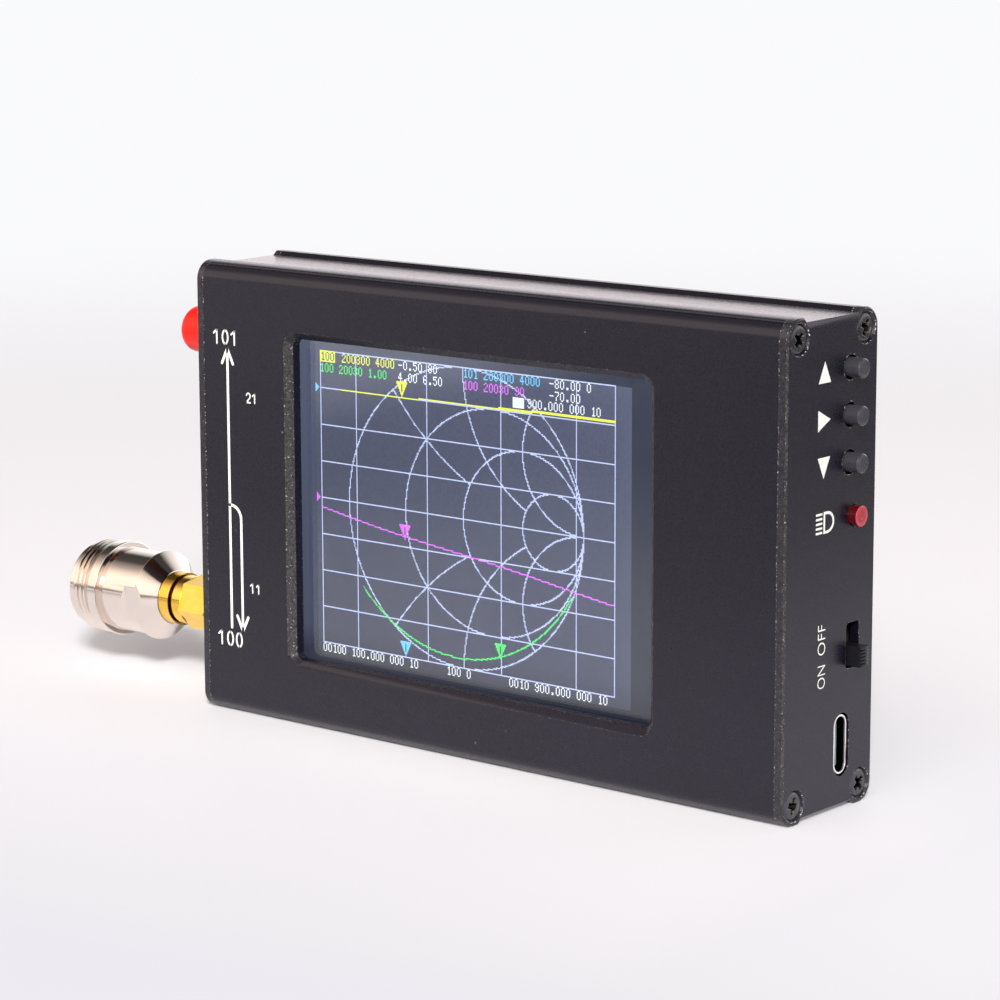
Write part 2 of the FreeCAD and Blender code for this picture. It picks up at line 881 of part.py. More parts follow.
# ---- adapter ----------------------------------------------------------------------------------
adapter_z = port_spots["lower"]
coupling_end = coupling_start + coupling_len
coupling_back = coupling_end + coupling_neck_len
lip_front = coupling_back - coupling_lip
shoulder = barrel_out + plug_gap + seal_t
ring_front = lip_front - ring_gap - ring_t
spigot_end = cone_start + spigot_len
socket_floor = adapter_end - socket_deep
plug_start = reference + plug_gap


def adapter_nut():
    """Coupling nut: hexagon with its corners broken at the case end, a round neck, and its bore."""
    nut = hexagon(coupling_start, coupling_end, adapter_z, coupling_across, coupling_turn)
    corner_r = coupling_across / math.sqrt(3)
    a = coupling_start
    b = coupling_end
    e = coupling_edge
    limit = turned([(a, 0), (a, corner_r - e), (a + 2 * e, corner_r + e), (b, corner_r + e), (b, 0)], adapter_z)
    neck_r = coupling_neck_r
    neck = turned([(b, 0), (b, neck_r), (coupling_back, neck_r), (coupling_back, 0)], adapter_z)
    bore = barrel_r + fit_gap
    lip = shank_r + fit_gap
    opening = turned([
        (a, 0), (a, bore), (lip_front, bore), (lip_front, lip), (coupling_back, lip), (coupling_back, 0),
    ], adapter_z)
    return nut.common(limit).fuse(neck).removeSplitter().cut(opening)


def adapter_snap_ring():
    """Open ring that sits in the shank's groove and holds the nut by its lip."""
    inner = groove_r + ring_gap
    outer = barrel_r
    end = ring_front + ring_t
    ring = faceted_core([(ring_front, inner), (ring_front, outer), (end, outer), (end, inner)], adapter_z)
    half = ring_t / 2
    gap = block(beyond(end), beyond(ring_front), port_y - half, port_y + half, adapter_z, adapter_z + outer)
    return ring.cut(gap)


def adapter_seal():
    inner = plug_r + fit_gap
    start = shoulder - seal_t
    return faceted_core([(start, inner), (start, shank_r), (shoulder, shank_r), (shoulder, inner)], adapter_z)


def adapter_plug():
    """Gold plug end: outer contact, shank with the ring's groove, flare, and a spigot in the body."""
    spigot_r = bead_r - insulator_gap
    groove_start = ring_front - ring_gap
    groove_end = ring_front + ring_t + ring_gap
    return turned([
        (plug_start, core_bore_r), (plug_start, plug_r), (shoulder, plug_r), (shoulder, shank_r),
        (groove_start, shank_r), (groove_start, groove_r), (groove_end, groove_r),
        (groove_end, shank_r), (flare_start, shank_r), (flare_start, flare_r), (cone_start, flare_r),
        (cone_start, spigot_r), (spigot_end, spigot_r), (spigot_end, core_bore_r),
    ], adapter_z)


def adapter_body():
    """Turned body: cone, ring, neck with two spanner flats, collar, thread and lip, then the socket."""
    body = turned([
        (cone_start, bead_r), (cone_start, cone_r), (ring_start, ring_r), (neck_start, ring_r),
        (neck_start, neck_r), (collar_start, neck_r), (collar_start, collar_r), (thread_start, collar_r),
        (thread_start, thread_r), (thread_end, thread_r), (thread_end, lip_r), (adapter_end, lip_r),
        (adapter_end, socket_r), (socket_floor, socket_r), (socket_floor, bead_r),
    ], adapter_z)
    x0, x1 = beyond(flat_end), beyond(cone_start)
    cutters = []
    for side in (-1, 1):
        y0, y1 = sorted((port_y + side * neck_flats / 2, port_y + side * collar_r))
        cutter = block(x0, x1, y0, y1, adapter_z - ring_r, adapter_z + ring_r)
        cutter.rotate(Vec(0, port_y, adapter_z), x_dir, flat_turn)
        cutters.append(cutter)
    return body.cut(cutters)


def adapter_dielectric():
    thin = core_bore_r - insulator_gap
    thick = bead_r - insulator_gap
    step = spigot_end + insulator_gap
    hole = rod_r + insulator_gap
    return faceted_core([
        (plug_start, hole), (plug_start, thin), (step, thin), (step, thick), (socket_floor, thick),
        (socket_floor, hole),
    ], adapter_z)


def adapter_contact():
    """Centre conductor: thin pin on the case side, socket on the antenna side."""
    tip = plug_start - pin_out
    wide = socket_floor + insulator_gap
    end = adapter_end - jack_pin_back
    bore_end = end - jack_pin_bore_deep
    return faceted_core([
        (tip, 0), (tip, pin_r), (plug_start, pin_r), (plug_start, rod_r), (wide, rod_r), (wide, jack_pin_r),
        (end, jack_pin_r), (end, jack_pin_bore_r), (bore_end, jack_pin_bore_r), (bore_end, 0),
    ], adapter_z)


# ---- write every piece ------------------------------------------------------------------------
os.makedirs("parts", exist_ok=True)

save("front_shell", front_shell())
save("back_shell", back_shell())
save("right_end_plate", right_end_plate())
save("left_end_plate", left_end_plate())
save("right_plate_screws", plate_screws(right_face, 1))
save("left_plate_screws", plate_screws(left_face, -1))

save("display_gasket", display_gasket())
save("touch_glass", touch_glass())
save("lcd_panel", lcd_panel())
save("lcd_frame", lcd_frame())
save("lcd_flex", lcd_flex())
save("flex_connector", flex_connector())
save("display_foam_pads", display_foam_pads())

save("main_board", main_board())
for name, spot in shield_spots().items():
    save(name, shield_can(*spot))
save("control_chip", front_chip(board_right - chip_in, mid_z + chip_up, chip_w, chip_w, chip_t))
save("clock_oscillator", front_chip(board_right - clock_in, mid_z - clock_drop, clock_w, clock_deep, clock_t))
save("charger_chip", back_chip(board_right - charger_in, mid_z - coil_drop, charger_w, charger_w, charger_t))
save("charger_coil", back_chip(board_right - coil_in, mid_z - coil_drop, coil_w, coil_w, coil_t))
save("battery", battery())
save("battery_pad", battery_pad())
save("battery_plug", battery_plug())
save("battery_leads", battery_leads())

for name, z in button_spots.items():
    save(name + "_button", button(z))
    save(name + "_switch", tact_switch(z))
save("indicator_lamp", indicator_lamp())
save("lamp_holder", lamp_holder())
save("lamp_legs", lamp_legs())
save("power_switch_body", power_switch_body())
save("power_switch_knob", power_switch_knob())
save("usb_shell", usb_shell())
save("usb_tongue", usb_tongue())

for name, z in port_spots.items():
    save(name + "_port_jack", port_jack(z))
    save(name + "_port_insulator", port_insulator(z))
    save(name + "_port_contact", port_contact(z))
    save(name + "_port_nut", port_nut(z))
save("dust_cap", dust_cap())

save("adapter_nut", adapter_nut())
save("adapter_snap_ring", adapter_snap_ring())
save("adapter_seal", adapter_seal())
save("adapter_plug", adapter_plug())
save("adapter_body", adapter_body())
save("adapter_dielectric", adapter_dielectric())
save("adapter_contact", adapter_contact())
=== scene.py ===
import bmesh
import bpy
import math
from mathutils import Matrix, Vector


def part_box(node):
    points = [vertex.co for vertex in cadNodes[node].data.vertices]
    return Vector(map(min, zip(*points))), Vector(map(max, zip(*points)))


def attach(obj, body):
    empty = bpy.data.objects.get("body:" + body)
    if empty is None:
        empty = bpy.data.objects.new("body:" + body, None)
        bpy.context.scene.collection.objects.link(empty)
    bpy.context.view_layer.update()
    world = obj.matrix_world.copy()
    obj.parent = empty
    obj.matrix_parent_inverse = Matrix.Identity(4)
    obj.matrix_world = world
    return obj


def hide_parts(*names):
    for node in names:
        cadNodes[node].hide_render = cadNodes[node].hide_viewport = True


# A handheld antenna analyzer: black anodised case, lit display, end plates with controls and ports.
# Settings are in millimetres and degrees, except where a note says otherwise.
# Places on the case are X from the case's middle, Y from the frame's middle and Z above the floor.

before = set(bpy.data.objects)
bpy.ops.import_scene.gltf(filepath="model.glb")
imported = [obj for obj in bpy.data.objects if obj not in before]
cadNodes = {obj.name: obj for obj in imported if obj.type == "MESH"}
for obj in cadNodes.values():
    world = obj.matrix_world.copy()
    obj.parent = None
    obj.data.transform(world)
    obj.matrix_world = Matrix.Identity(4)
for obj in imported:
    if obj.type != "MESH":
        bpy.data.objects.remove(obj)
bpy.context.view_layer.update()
mm = 0.001
print("frame loaded:", len(cadNodes), "nodes")

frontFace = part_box("front_shell")[0].y / mm
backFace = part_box("back_shell")[1].y / mm
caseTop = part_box("front_shell")[1].z / mm
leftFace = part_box("left_end_plate")[0].x / mm
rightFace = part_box("right_end_plate")[1].x / mm
caseMiddle = (leftFace + rightFace) / 2
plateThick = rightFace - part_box("right_end_plate")[0].x / mm


# tools for meshes
def linked(name, data):
    thing = bpy.data.objects.new(name, data)
    bpy.context.scene.collection.objects.link(thing)
    return thing


def evaluated(thing):
    # plain mesh of an object with its modifiers applied; the object itself is thrown away
    bpy.context.view_layer.update()
    graph = bpy.context.evaluated_depsgraph_get()
    mesh = bpy.data.meshes.new_from_object(thing.evaluated_get(graph), depsgraph=graph)
    bpy.data.objects.remove(thing)
    return mesh


def smoothed(mesh, angle, weight=50):
    # smooth shading that stops at edges sharper than this and keeps flat faces flat
    mesh.shade_smooth()
    mesh.set_sharp_from_angle(angle=math.radians(angle))
    thing = linked("smoothing", mesh)
    modifier = thing.modifiers.new("weights", "WEIGHTED_NORMAL")
    modifier.keep_sharp = True
    modifier.weight = weight
    modifier.thresh = 0.0  # faces this small, in metres, need it
    return evaluated(thing)


def addObject(name, mesh, materials, body, smoothAngle=None):
    # links a finished mesh, rides it on its body and names its finish
    for material in materials[len(mesh.materials):]:
        mesh.materials.append(material)
    if smoothAngle:
        mesh = smoothed(mesh, smoothAngle)
    thing = linked(name, mesh)
    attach(thing, body)
    return thing


def dress(node, mesh, materials, body, smoothAngle=None):
    # shows this mesh in place of a CAD node
    thing = addObject(node + "_finished", mesh, materials, body, smoothAngle)
    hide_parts(node)


def paint(material, *nodes):
    # gives CAD nodes that stay as they are a better finish
    for node in nodes:
        cadNodes[node].data.materials[0] = material


def meshFromShape(name, shape):
    bmesh.ops.recalc_face_normals(shape, faces=shape.faces)
    mesh = bpy.data.meshes.new(name)
    shape.to_mesh(mesh)
    shape.free()
    return mesh


def copyNode(node):
    # merged copy of a CAD node, ready to be reshaped
    shape = bmesh.new()
    shape.from_mesh(cadNodes[node].data)
    bmesh.ops.remove_doubles(shape, verts=shape.verts, dist=0.0005 * mm)
    return shape


def addBlock(shape, low, high):
    # box between two corners; returns its corners
    corners = []
    for x in (low[0], high[0]):
        for y in (low[1], high[1]):
            for z in (low[2], high[2]):
                corners.append(shape.verts.new(Vector((x, y, z)) * mm))
    for ring in ((0, 1, 3, 2), (4, 6, 7, 5), (0, 4, 5, 1), (2, 3, 7, 6), (0, 2, 6, 4), (1, 5, 7, 3)):
        shape.faces.new([corners[k] for k in ring])
    return corners


def addSolid(shape, outline, place):
    # closed prism: a flat outline of (a, b) points, placed by a function of (a, b, level 0 or 1)
    low = [shape.verts.new(place(a, b, 0)) for a, b in outline]
    high = [shape.verts.new(place(a, b, 1)) for a, b in outline]
    shape.faces.new(low)
    shape.faces.new(high[::-1])
    for k in range(len(outline)):
        after = (k + 1) % len(outline)
        shape.faces.new([low[k], high[k], high[after], low[after]])


def joinRings(shape, rings, count):
    # faces between each ring of vertices and the next, and back to the first; a ring may be a single point
    for one, two in zip(rings, rings[1:] + rings[:1]):
        for k in range(count):
            after = (k + 1) % count
            corners = [one[k % len(one)], one[after % len(one)], two[after % len(two)], two[k % len(two)]]
            unique = [v for i, v in enumerate(corners) if v not in corners[:i]]
            if len(unique) > 2:
                shape.faces.new(unique)


def roundOff(shape, edges, radius, segments=2):
    bmesh.ops.bevel(shape, geom=edges, offset=radius * mm, segments=segments, affect="EDGES", profile=0.5)


def cutAway(mesh, cutters):
    # mesh less some closed cutter shapes
    thing = linked("workpiece", mesh)
    tools = []
    for cutter in cutters:
        tool = linked("cutter", meshFromShape("cutter", cutter))
        modifier = thing.modifiers.new("cut", "BOOLEAN")
        modifier.object = tool
        modifier.operation = "DIFFERENCE"
        tools.append(tool)
    made = evaluated(thing)
    for tool in tools:
        bpy.data.objects.remove(tool)
    shape = bmesh.new()
    shape.from_mesh(made)
    # a cut along an older one leaves faces with no width
    noWidth = 0.001 * mm
    bmesh.ops.remove_doubles(shape, verts=shape.verts, dist=noWidth)
    bmesh.ops.dissolve_degenerate(shape, edges=shape.edges, dist=noWidth)
    shape.to_mesh(made)
    shape.free()
    return made


def arc(a, b, radiusA, radiusB, start, end, steps=10):
    # points along part of an oval
    points = []
    for k in range(steps + 1):
        angle = math.radians(start + (end - start) * k / steps)
        points.append((a + radiusA * math.cos(angle), b + radiusB * math.sin(angle)))
    return points


def roundedPath(points, steps=4):
    # closed section of (x, radius, rounding) points; returns (x, radius) points with rounded corners
    path = []
    for k, (x, r, rounding) in enumerate(points):
        here = Vector((x, r))
        if not rounding:
            path.append((x, r))
            continue
        before = Vector(points[k - 1][:2]) - here
        after = Vector(points[(k + 1) % len(points)][:2]) - here
        reach = min(rounding, 0.48 * before.length, 0.48 * after.length)  # two roundings share a short edge
        start = here + before.normalized() * reach
        end = here + after.normalized() * reach
        for step in range(steps + 1):
            t = step / steps
            spot = start * (1 - t) ** 2 + here * 2 * t * (1 - t) + end * t ** 2
            path.append((spot.x, spot.y))
    return path


def turnedMesh(name, points, centre, turns=96):
    # solid of revolution about an axis along X, from a closed section of (x, radius, rounding) points
    shape = bmesh.new()
    rings = []
    for x, radius in roundedPath(points):
        ring = []
        for k in range(turns if radius > 1e-6 else 1):  # one point on the axis
            angle = 2 * math.pi * k / turns
            spot = Vector((x, centre[0] + radius * math.cos(angle), centre[1] + radius * math.sin(angle)))
            ring.append(shape.verts.new(spot * mm))
        rings.append(ring)
    joinRings(shape, rings, turns)
    return meshFromShape(name, shape)


def nodeAxis(node):
    # a round CAD node's centre (Y, Z), its radius and the X of its two ends
    low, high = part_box(node)
    centre = ((low.y + high.y) / 2 / mm, (low.z + high.z) / 2 / mm)
    return centre, (high.y - low.y) / 2 / mm, low.x / mm, high.x / mm


# tools for node trees
def addNode(tree, kind, inputs=(), **values):
    made = tree.nodes.new(kind)
    for name, value in values.items():
        setattr(made, name, value)
    for key, value in dict(inputs).items():
        if isinstance(value, bpy.types.NodeSocket):
            tree.links.new(value, made.inputs[key])
        else:
            made.inputs[key].default_value = value
    return made


class Numbers:
    # a tree's number nodes, by short names
    def __init__(self, tree):
        self.tree = tree

    def node(self, kind, inputs=(), **values):
        return addNode(self.tree, "ShaderNode" + kind, inputs, **values)

    def maths(self, operation, *values):
        return self.node("Math", dict(enumerate(values)), operation=operation).outputs[0]

    def plus(self, a, b):
        return self.maths("ADD", a, b)

    def minus(self, a, b):
        return self.maths("SUBTRACT", a, b)

    def times(self, a, b):
        return self.maths("MULTIPLY", a, b)

    def timesPlus(self, a, b, c):
        return self.maths("MULTIPLY_ADD", a, b, c)

    def most(self, a, b):
        return self.maths("MAXIMUM", a, b)

    def least(self, a, b):
        return self.maths("MINIMUM", a, b)

    def size(self, a):
        return self.maths("ABSOLUTE", a)

    def above(self, value, low):
        return self.maths("GREATER_THAN", value, low)

    def below(self, value, high):
        return self.maths("LESS_THAN", value, high)

    def clamped(self, value):
        return self.node("Clamp", {0: value}).outputs[0]

    def parts(self, vector):
        return self.node("SeparateXYZ", {0: vector}).outputs

    def joined(self, **parts):
        return self.node("CombineXYZ", parts).outputs[0]


def newTree(name, **inputs):
    # geometry tree with named inputs; returns the tree and its input sockets
    tree = bpy.data.node_groups.new(name, "GeometryNodeTree")
    tree.interface.new_socket("Geometry", in_out="INPUT", socket_type="NodeSocketGeometry")
    for label, kind in inputs.items():
        tree.interface.new_socket(label, in_out="INPUT", socket_type="NodeSocket" + kind)
    tree.interface.new_socket("Geometry", in_out="OUTPUT", socket_type="NodeSocketGeometry")
    return tree, tree.nodes.new("NodeGroupInput").outputs


def closeTree(tree, geometry, finish):
    real = addNode(tree, "GeometryNodeRealizeInstances", {0: geometry})
    painted = addNode(tree, "GeometryNodeSetMaterial", {"Geometry": real.outputs[0], "Material": finish})
    addNode(tree, "NodeGroupOutput", {0: painted.outputs[0]})


def runTree(tree, mesh, **values):
    # gives a tree its inputs by socket identifier and returns the plain mesh it makes
    thing = linked("tree run", mesh)
    modifier = thing.modifiers.new("tree", "NODES")
    modifier.node_group = tree
    for item in tree.interface.items_tree:
        if item.in_out == "INPUT" and item.name in values:
            modifier[item.identifier] = values[item.name]
    return evaluated(thing)


def copiesTree():
    # points in, copies of a model out, each turned about its own axis by a seeded amount
    tree, given = newTree("set copies", Model="Object", Facing="Float", LooseTurn="Float", Seed="Int",
                          Finish="Material")
    m = Numbers(tree)
    info = addNode(tree, "GeometryNodeObjectInfo", {"Object": given["Model"]})
    inputs = {"Seed": given["Seed"], 3: given["LooseTurn"]}
    turn = addNode(tree, "FunctionNodeRandomValue", inputs, data_type="FLOAT").outputs[1]
    spin = m.joined(X=turn, Z=given["Facing"])
    inputs = {"Points": given["Geometry"], "Instance": info.outputs["Geometry"], "Rotation": spin}
    spread = addNode(tree, "GeometryNodeInstanceOnPoints", inputs)
    closeTree(tree, spread.outputs[0], given["Finish"])
    return tree


threadSettings = {
    "turnSteps": 96,
    "cutFlat": 0.15,  # share of a ridge's height that is cut off at its crest and at its root
    "weld": 0.0001,
}


def threadTree():
    # adds a threaded sleeve to a plain barrel whose axis lies along X, pointing to -X
    tree, given = newTree("thread", Axis="Vector", Length="Float", Pitch="Float", Core="Float", Depth="Float",
                          Rows="Int", Finish="Material")
    m = Numbers(tree)
    flat = threadSettings["cutFlat"]
    sizes = {"Size X": 1.0, "Size Y": 1.0, "Vertices X": threadSettings["turnSteps"] + 1, "Vertices Y": given["Rows"]}
    sheet = addNode(tree, "GeometryNodeMeshGrid", sizes).outputs["Mesh"]
    place = m.parts(addNode(tree, "GeometryNodeInputPosition").outputs[0])
    # the sheet reaches from -0.5 to 0.5: X goes once round the barrel and Y goes along it
    share = m.plus(place["X"], 0.5)
    along = m.times(m.plus(place["Y"], 0.5), given["Length"])
    phase = m.maths("FRACT", m.minus(m.maths("DIVIDE", along, given["Pitch"]), share))
    ridge = m.minus(1.0, m.size(m.timesPlus(phase, 2.0, -1.0)))
    ridge = m.clamped(m.timesPlus(ridge, 1.0 + 2.0 * flat, -flat))
    fade = m.clamped(m.maths("DIVIDE", m.least(along, m.minus(given["Length"], along)), given["Pitch"]))
    radius = m.timesPlus(m.times(ridge, fade), given["Depth"], given["Core"])
    angle = m.times(share, 2 * math.pi)
    spot = m.joined(X=m.times(along, -1.0), Y=m.times(radius, m.maths("COSINE", angle)),
                    Z=m.times(radius, m.times(m.maths("SINE", angle), -1.0)))
    spot = m.node("VectorMath", {0: spot, 1: given["Axis"]}, operation="ADD").outputs[0]
    sleeve = addNode(tree, "GeometryNodeSetPosition", {"Geometry": sheet, "Position": spot}).outputs[0]
    inputs = {"Geometry": sleeve, "Distance": threadSettings["weld"] * mm}
    sleeve = addNode(tree, "GeometryNodeMergeByDistance", inputs).outputs[0]
    both = tree.nodes.new("GeometryNodeJoinGeometry")
    for geometry in (given["Geometry"], sleeve):
        tree.links.new(geometry, both.inputs[0])
    closeTree(tree, both.outputs[0], given["Finish"])
    return tree


setCopies = copiesTree()
cutThread = threadTree()


def copied(model, places, **values):
    # mesh of a model's copies at these places, in metres
    points = bpy.data.meshes.new("places")
    points.from_pydata(places, [], [])
    return runTree(setCopies, points, Model=model, **values)


def threaded(mesh, start, centre, settings, finish):
    # the mesh with a thread from this X towards -X
    s = settings
    return runTree(cutThread, mesh, Axis=Vector((start, *centre)) * mm, Length=s["length"] * mm,
                   Pitch=s["pitch"] * mm, Core=s["core"] * mm, Depth=s["depth"] * mm,
                   Rows=int(s["length"] / s["rowStep"]), Finish=finish)


# tools for finishes
class Finish(Numbers):
    # one procedural material; sizes of its patterns are in millimetres
    def __init__(self, name, colour, roughness, metallic=0.0, **more):
        self.material = bpy.data.materials.new(name)
        self.material.use_nodes = True
        super().__init__(self.material.node_tree)
        self.shader = self.tree.nodes["Principled BSDF"]
        self.coords = self.node("TexCoord").outputs["Object"]
        self.normal = None
        self.setTo("Base Color", (*colour, 1))
        self.setTo("Roughness", roughness)
        self.setTo("Metallic", metallic)
        for socket, value in more.items():
            self.setTo(socket.replace("_", " "), value)

    def setTo(self, socket, value):
        if isinstance(value, bpy.types.NodeSocket):
            self.tree.links.new(value, self.shader.inputs[socket])
        else:
            self.shader.inputs[socket].default_value = value

    def stretched(self, scale):
        return self.node("Mapping", {"Vector": self.coords, "Scale": scale}).outputs[0]

    def noise(self, size, detail=3.0, stretch=None):
        where = self.stretched(stretch) if stretch else self.coords
        made = self.node("TexNoise", {"Vector": where, "Scale": 1 / (size * mm), "Detail": detail})
        return made.outputs["Fac"]

    def cells(self, size):
        made = self.node("TexVoronoi", {"Vector": self.coords, "Scale": 1 / (size * mm)})
        return made.outputs["Distance"]

    def spread(self, value, low, high, toLow=0.0, toHigh=1.0, **values):
        inputs = {"Value": value, "From Min": low, "From Max": high, "To Min": toLow, "To Max": toHigh}
        return self.node("MapRange", inputs, **values).outputs[0]

    def swing(self, noise, low=0.0, high=1.0):
        # a noise's usual range spread over these values
        return self.spread(noise, 0.3, 0.7, low, high)

    def between(self, value, low, high):
        return self.times(self.above(value, low), self.below(value, high))

    def fromAxis(self, place, centre):
        # distance from an axis along X through this (Y, Z)
        across = self.minus(place["Y"], centre[0] * mm)
        up = self.minus(place["Z"], centre[1] * mm)
        return self.maths("SQRT", self.plus(self.times(across, across), self.times(up, up)))

    def blend(self, factor, a, b):
        a, b = (c if isinstance(c, bpy.types.NodeSocket) else (*c, 1) for c in (a, b))
        return self.node("Mix", {"Factor": factor, 6: a, 7: b}, data_type="RGBA").outputs[2]

    def softNormal(self, radius):
        return self.node("Bevel", {"Radius": radius * mm}, samples=6).outputs[0]

    def roundEdges(self, radius):
        self.normal = self.softNormal(radius)

    def bump(self, height, depth):
        inputs = {"Height": height, "Distance": depth * mm, "Strength": 1.0}
        if self.normal:
            inputs["Normal"] = self.normal
        self.normal = self.node("Bump", inputs).outputs[0]

    def edges(self, radius, low=0.02, high=0.16):
        # 1 along the sharp edges of the mesh, fading out over this radius
        inputs = {0: self.softNormal(radius), 1: self.node("NewGeometry").outputs["Normal"]}
        same = self.node("VectorMath", inputs, operation="DOT_PRODUCT").outputs["Value"]
        return self.spread(same, 1 - low, 1 - high)

    def done(self):
        if self.normal:
            self.setTo("Normal", self.normal)
        return self.material


holeSettings = {
    "buttonHole": 1.95,  # radii
    "screwMouth": 2.4,
    "screwInset": 2.215,  # from a head's outer edge to its axis
    "rimIn": 0.07,
    "rimOut": 0.05,
}


def screwAxes(node):
    # (y, z) of the four screws in an end plate
    low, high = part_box(node)
    inset = holeSettings["screwInset"]
    return [(y, z) for y in (low.y / mm + inset, high.y / mm - inset)
            for z in (low.z / mm + inset, high.z / mm - inset)]


def holeMouths():
    # (centre, radius, in both plates) of the button holes and the screws' mouths
    mouths = [(nodeAxis(name + "_button")[0], holeSettings["buttonHole"], False) for name in ("up", "select", "down")]
    return mouths + [(centre, holeSettings["screwMouth"], True) for centre in screwAxes("right_plate_screws")]


caseSettings = {
    "colour": (0.0030, 0.0028, 0.0072),
    "colourLight": (0.0050, 0.0048, 0.0108),
    "sheen": (0.90, 0.87, 1.0),
    "gloss": 1.505,
    "roughness": 0.29,
    "roughnessSwing": (-0.05, 0.07),
    "cloudSize": 30.0,
    "grainSize": 0.2,
    "grainDepth": 0.016,
    "edgeRound": 0.12,
    # pale dust, in a few patches
    "dust": (0.3, 0.3, 0.32),
    "dustPitch": 6.0,
    "dustDot": (0.04, 0.02),
    "dustPatch": 4.0,
    # sunk floors along the top and the underside, between these depths below the rails; their pale colours are a
    # painted reflection of the bright studio
    # painted reflection: the two floor colours below stand in for the studio mirrored in the sunk floors
    "floor": (0.084, 0.073, 0.079),
    "floorReflectionLight": (0.132, 0.115, 0.123),
    "floorRoughness": 0.22,
    "floorDepths": (1.0, 0.3),
    "floorLevel": (0.85, 0.95),
    # rough bevels round the window, told by where they face and how far they lie from the case's outside
    "bevel": (0.012, 0.012, 0.013),
    "bevelLight": (0.05, 0.048, 0.05),
    "bevelFacing": (-0.9, -0.5),
    "bevelUpright": 0.3,
    "bevelDeep": 1.2,
    "bevelInset": 4.0,
    "mottleSize": 0.48,
    "mottleLevel": (0.35, 0.7),
    "speckSize": 0.3,
    "speckLevel": (0.66, 0.72),
    "speckle": 0.6,
    # outer sides of the end plates, rough to this share
    "rawSides": 0.0,
    "sideFacing": 0.8,
    "sideDeep": 1.5,
    # wear along the edges and round the holes
    "wearWidth": 0.2,
    "rub": 0.10,
    "rubbed": (0.10, 0.075, 0.06),
    "bare": (0.66, 0.63, 0.60),
    "chipSize": 0.3,
    "chipLevel": 0.6,
    "chipSoft": 0.04,
    "flakeSize": 0.45,
    "flakeLevel": (0.56, 0.62),
    "flakes": 0.7,
    "mouths": (),
}
plateChanges = {
    "gloss": 1.52,
    "rub": 0.22,
    "wearWidth": 0.26,
    "chipLevel": 0.585,
    "speckle": 0.26,
    "rawSides": 0.45,
    "mouths": holeMouths(),
}


def roughPlaces(made, s, place, facing, height):
    # 1 on the bevels round the window, and part way on an end plate's outer sides
    half = caseTop / 2 * mm
    rough = made.times(made.between(facing["Y"], *s["bevelFacing"]), made.below(height, half - s["bevelInset"] * mm))
    rough = made.times(rough, made.below(place["Y"], (frontFace + s["bevelDeep"]) * mm))
    rough = made.times(rough, made.below(made.size(facing["Z"]), s["bevelUpright"]))
    if s["rawSides"]:
        deep = s["sideDeep"]
        outer = made.below(place["Y"], (frontFace + deep) * mm)
        outer = made.most(outer, made.above(place["Y"], (backFace - deep) * mm))
        outer = made.most(outer, made.above(height, half - deep * mm))
        side = made.times(made.below(made.size(facing["X"]), s["sideFacing"]), outer)
        rough = made.most(rough, made.times(side, s["rawSides"]))
    return rough


def worn(made, s, place, colour):
    # rubbed and chipped edges, and flaked rims round the holes
    edge = made.edges(s["wearWidth"])
    chips = made.spread(made.noise(s["chipSize"]), s["chipLevel"], s["chipLevel"] + s["chipSoft"])
    colour = made.blend(made.times(edge, s["rub"]), colour, s["rubbed"])
    colour = made.blend(made.times(edge, chips), colour, s["bare"])
    flaked = made.spread(made.noise(s["flakeSize"]), *s["flakeLevel"], 0.0, s["flakes"])
    onRight = made.spread(place["X"], 0.0, mm)
    for centre, radius, both in s["mouths"]:
        inner, outer = radius - holeSettings["rimIn"], radius + holeSettings["rimOut"]
        rim = made.between(made.fromAxis(place, centre), inner * mm, outer * mm)
        rim = rim if both else made.times(rim, onRight)
        colour = made.blend(made.times(rim, flaked), colour, s["bare"])
    return colour


def anodised(name, settings):
    # blasted and anodised metal: sunk floors painted pale as a painted reflection, rough bevels, bare specks along
    # the edges
    s = settings
    made = Finish(name, s["colour"], s["roughness"], IOR=s["gloss"], Specular_Tint=(*s["sheen"], 1))
    place = made.parts(made.coords)
    facing = made.parts(made.node("NewGeometry").outputs["Normal"])
    half = caseTop / 2 * mm
    height = made.size(made.minus(place["Z"], half))
    sunk = made.between(height, *(half - deep * mm for deep in s["floorDepths"]))
    sunk = made.times(sunk, made.spread(made.size(facing["Z"]), *s["floorLevel"]))
    grain = made.noise(s["grainSize"], 2.0)
    colour = made.blend(made.noise(s["cloudSize"], 2.0), s["colour"], s["colourLight"])
    speck = made.times(made.spread(made.noise(s["speckSize"], 2.0), *s["speckLevel"]), s["speckle"])
    mottled = made.spread(made.noise(s["mottleSize"]), *s["mottleLevel"])
    bevel = made.blend(speck, made.blend(mottled, s["bevel"], s["bevelLight"]), s["bare"])
    colour = made.blend(roughPlaces(made, s, place, facing, height), colour, bevel)
    # painted reflection on the sunk floors, with a random grain
    colour = made.blend(sunk, colour, made.blend(made.swing(grain), s["floor"], s["floorReflectionLight"]))
    dust = made.spread(made.cells(s["dustPitch"]), *s["dustDot"])
    dust = made.times(dust, made.spread(made.noise(s["dustPatch"]), 0.5, 0.7))
    colour = made.blend(dust, colour, s["dust"])
    made.setTo("Base Color", worn(made, s, place, colour))
    gloss = made.swing(grain, *(s["roughness"] + change for change in s["roughnessSwing"]))
    made.setTo("Roughness", made.spread(sunk, 0.0, 1.0, gloss, s["floorRoughness"]))
    made.roundEdges(s["edgeRound"])
    made.bump(grain, s["grainDepth"])
    return made.done()


def polished(name, settings):
    # plated metal with fine turning marks round the ports' axis
    s = settings
    made = Finish(name, s["colour"], s["roughness"], 1.0)
    marks = made.noise(s["markPitch"], 2.0, stretch=(1.0, s["markStretch"], s["markStretch"]))
    haze = made.noise(s["hazeSize"])
    made.setTo("Base Color", made.blend(made.spread(haze, 0.35, 0.65), s["colour"], s["colourWarm"]))
    made.setTo("Roughness", made.swing(haze, s["roughness"], s["roughness"] + s["haze"]))
    made.bump(marks, s["markDepth"])
    return made.done()


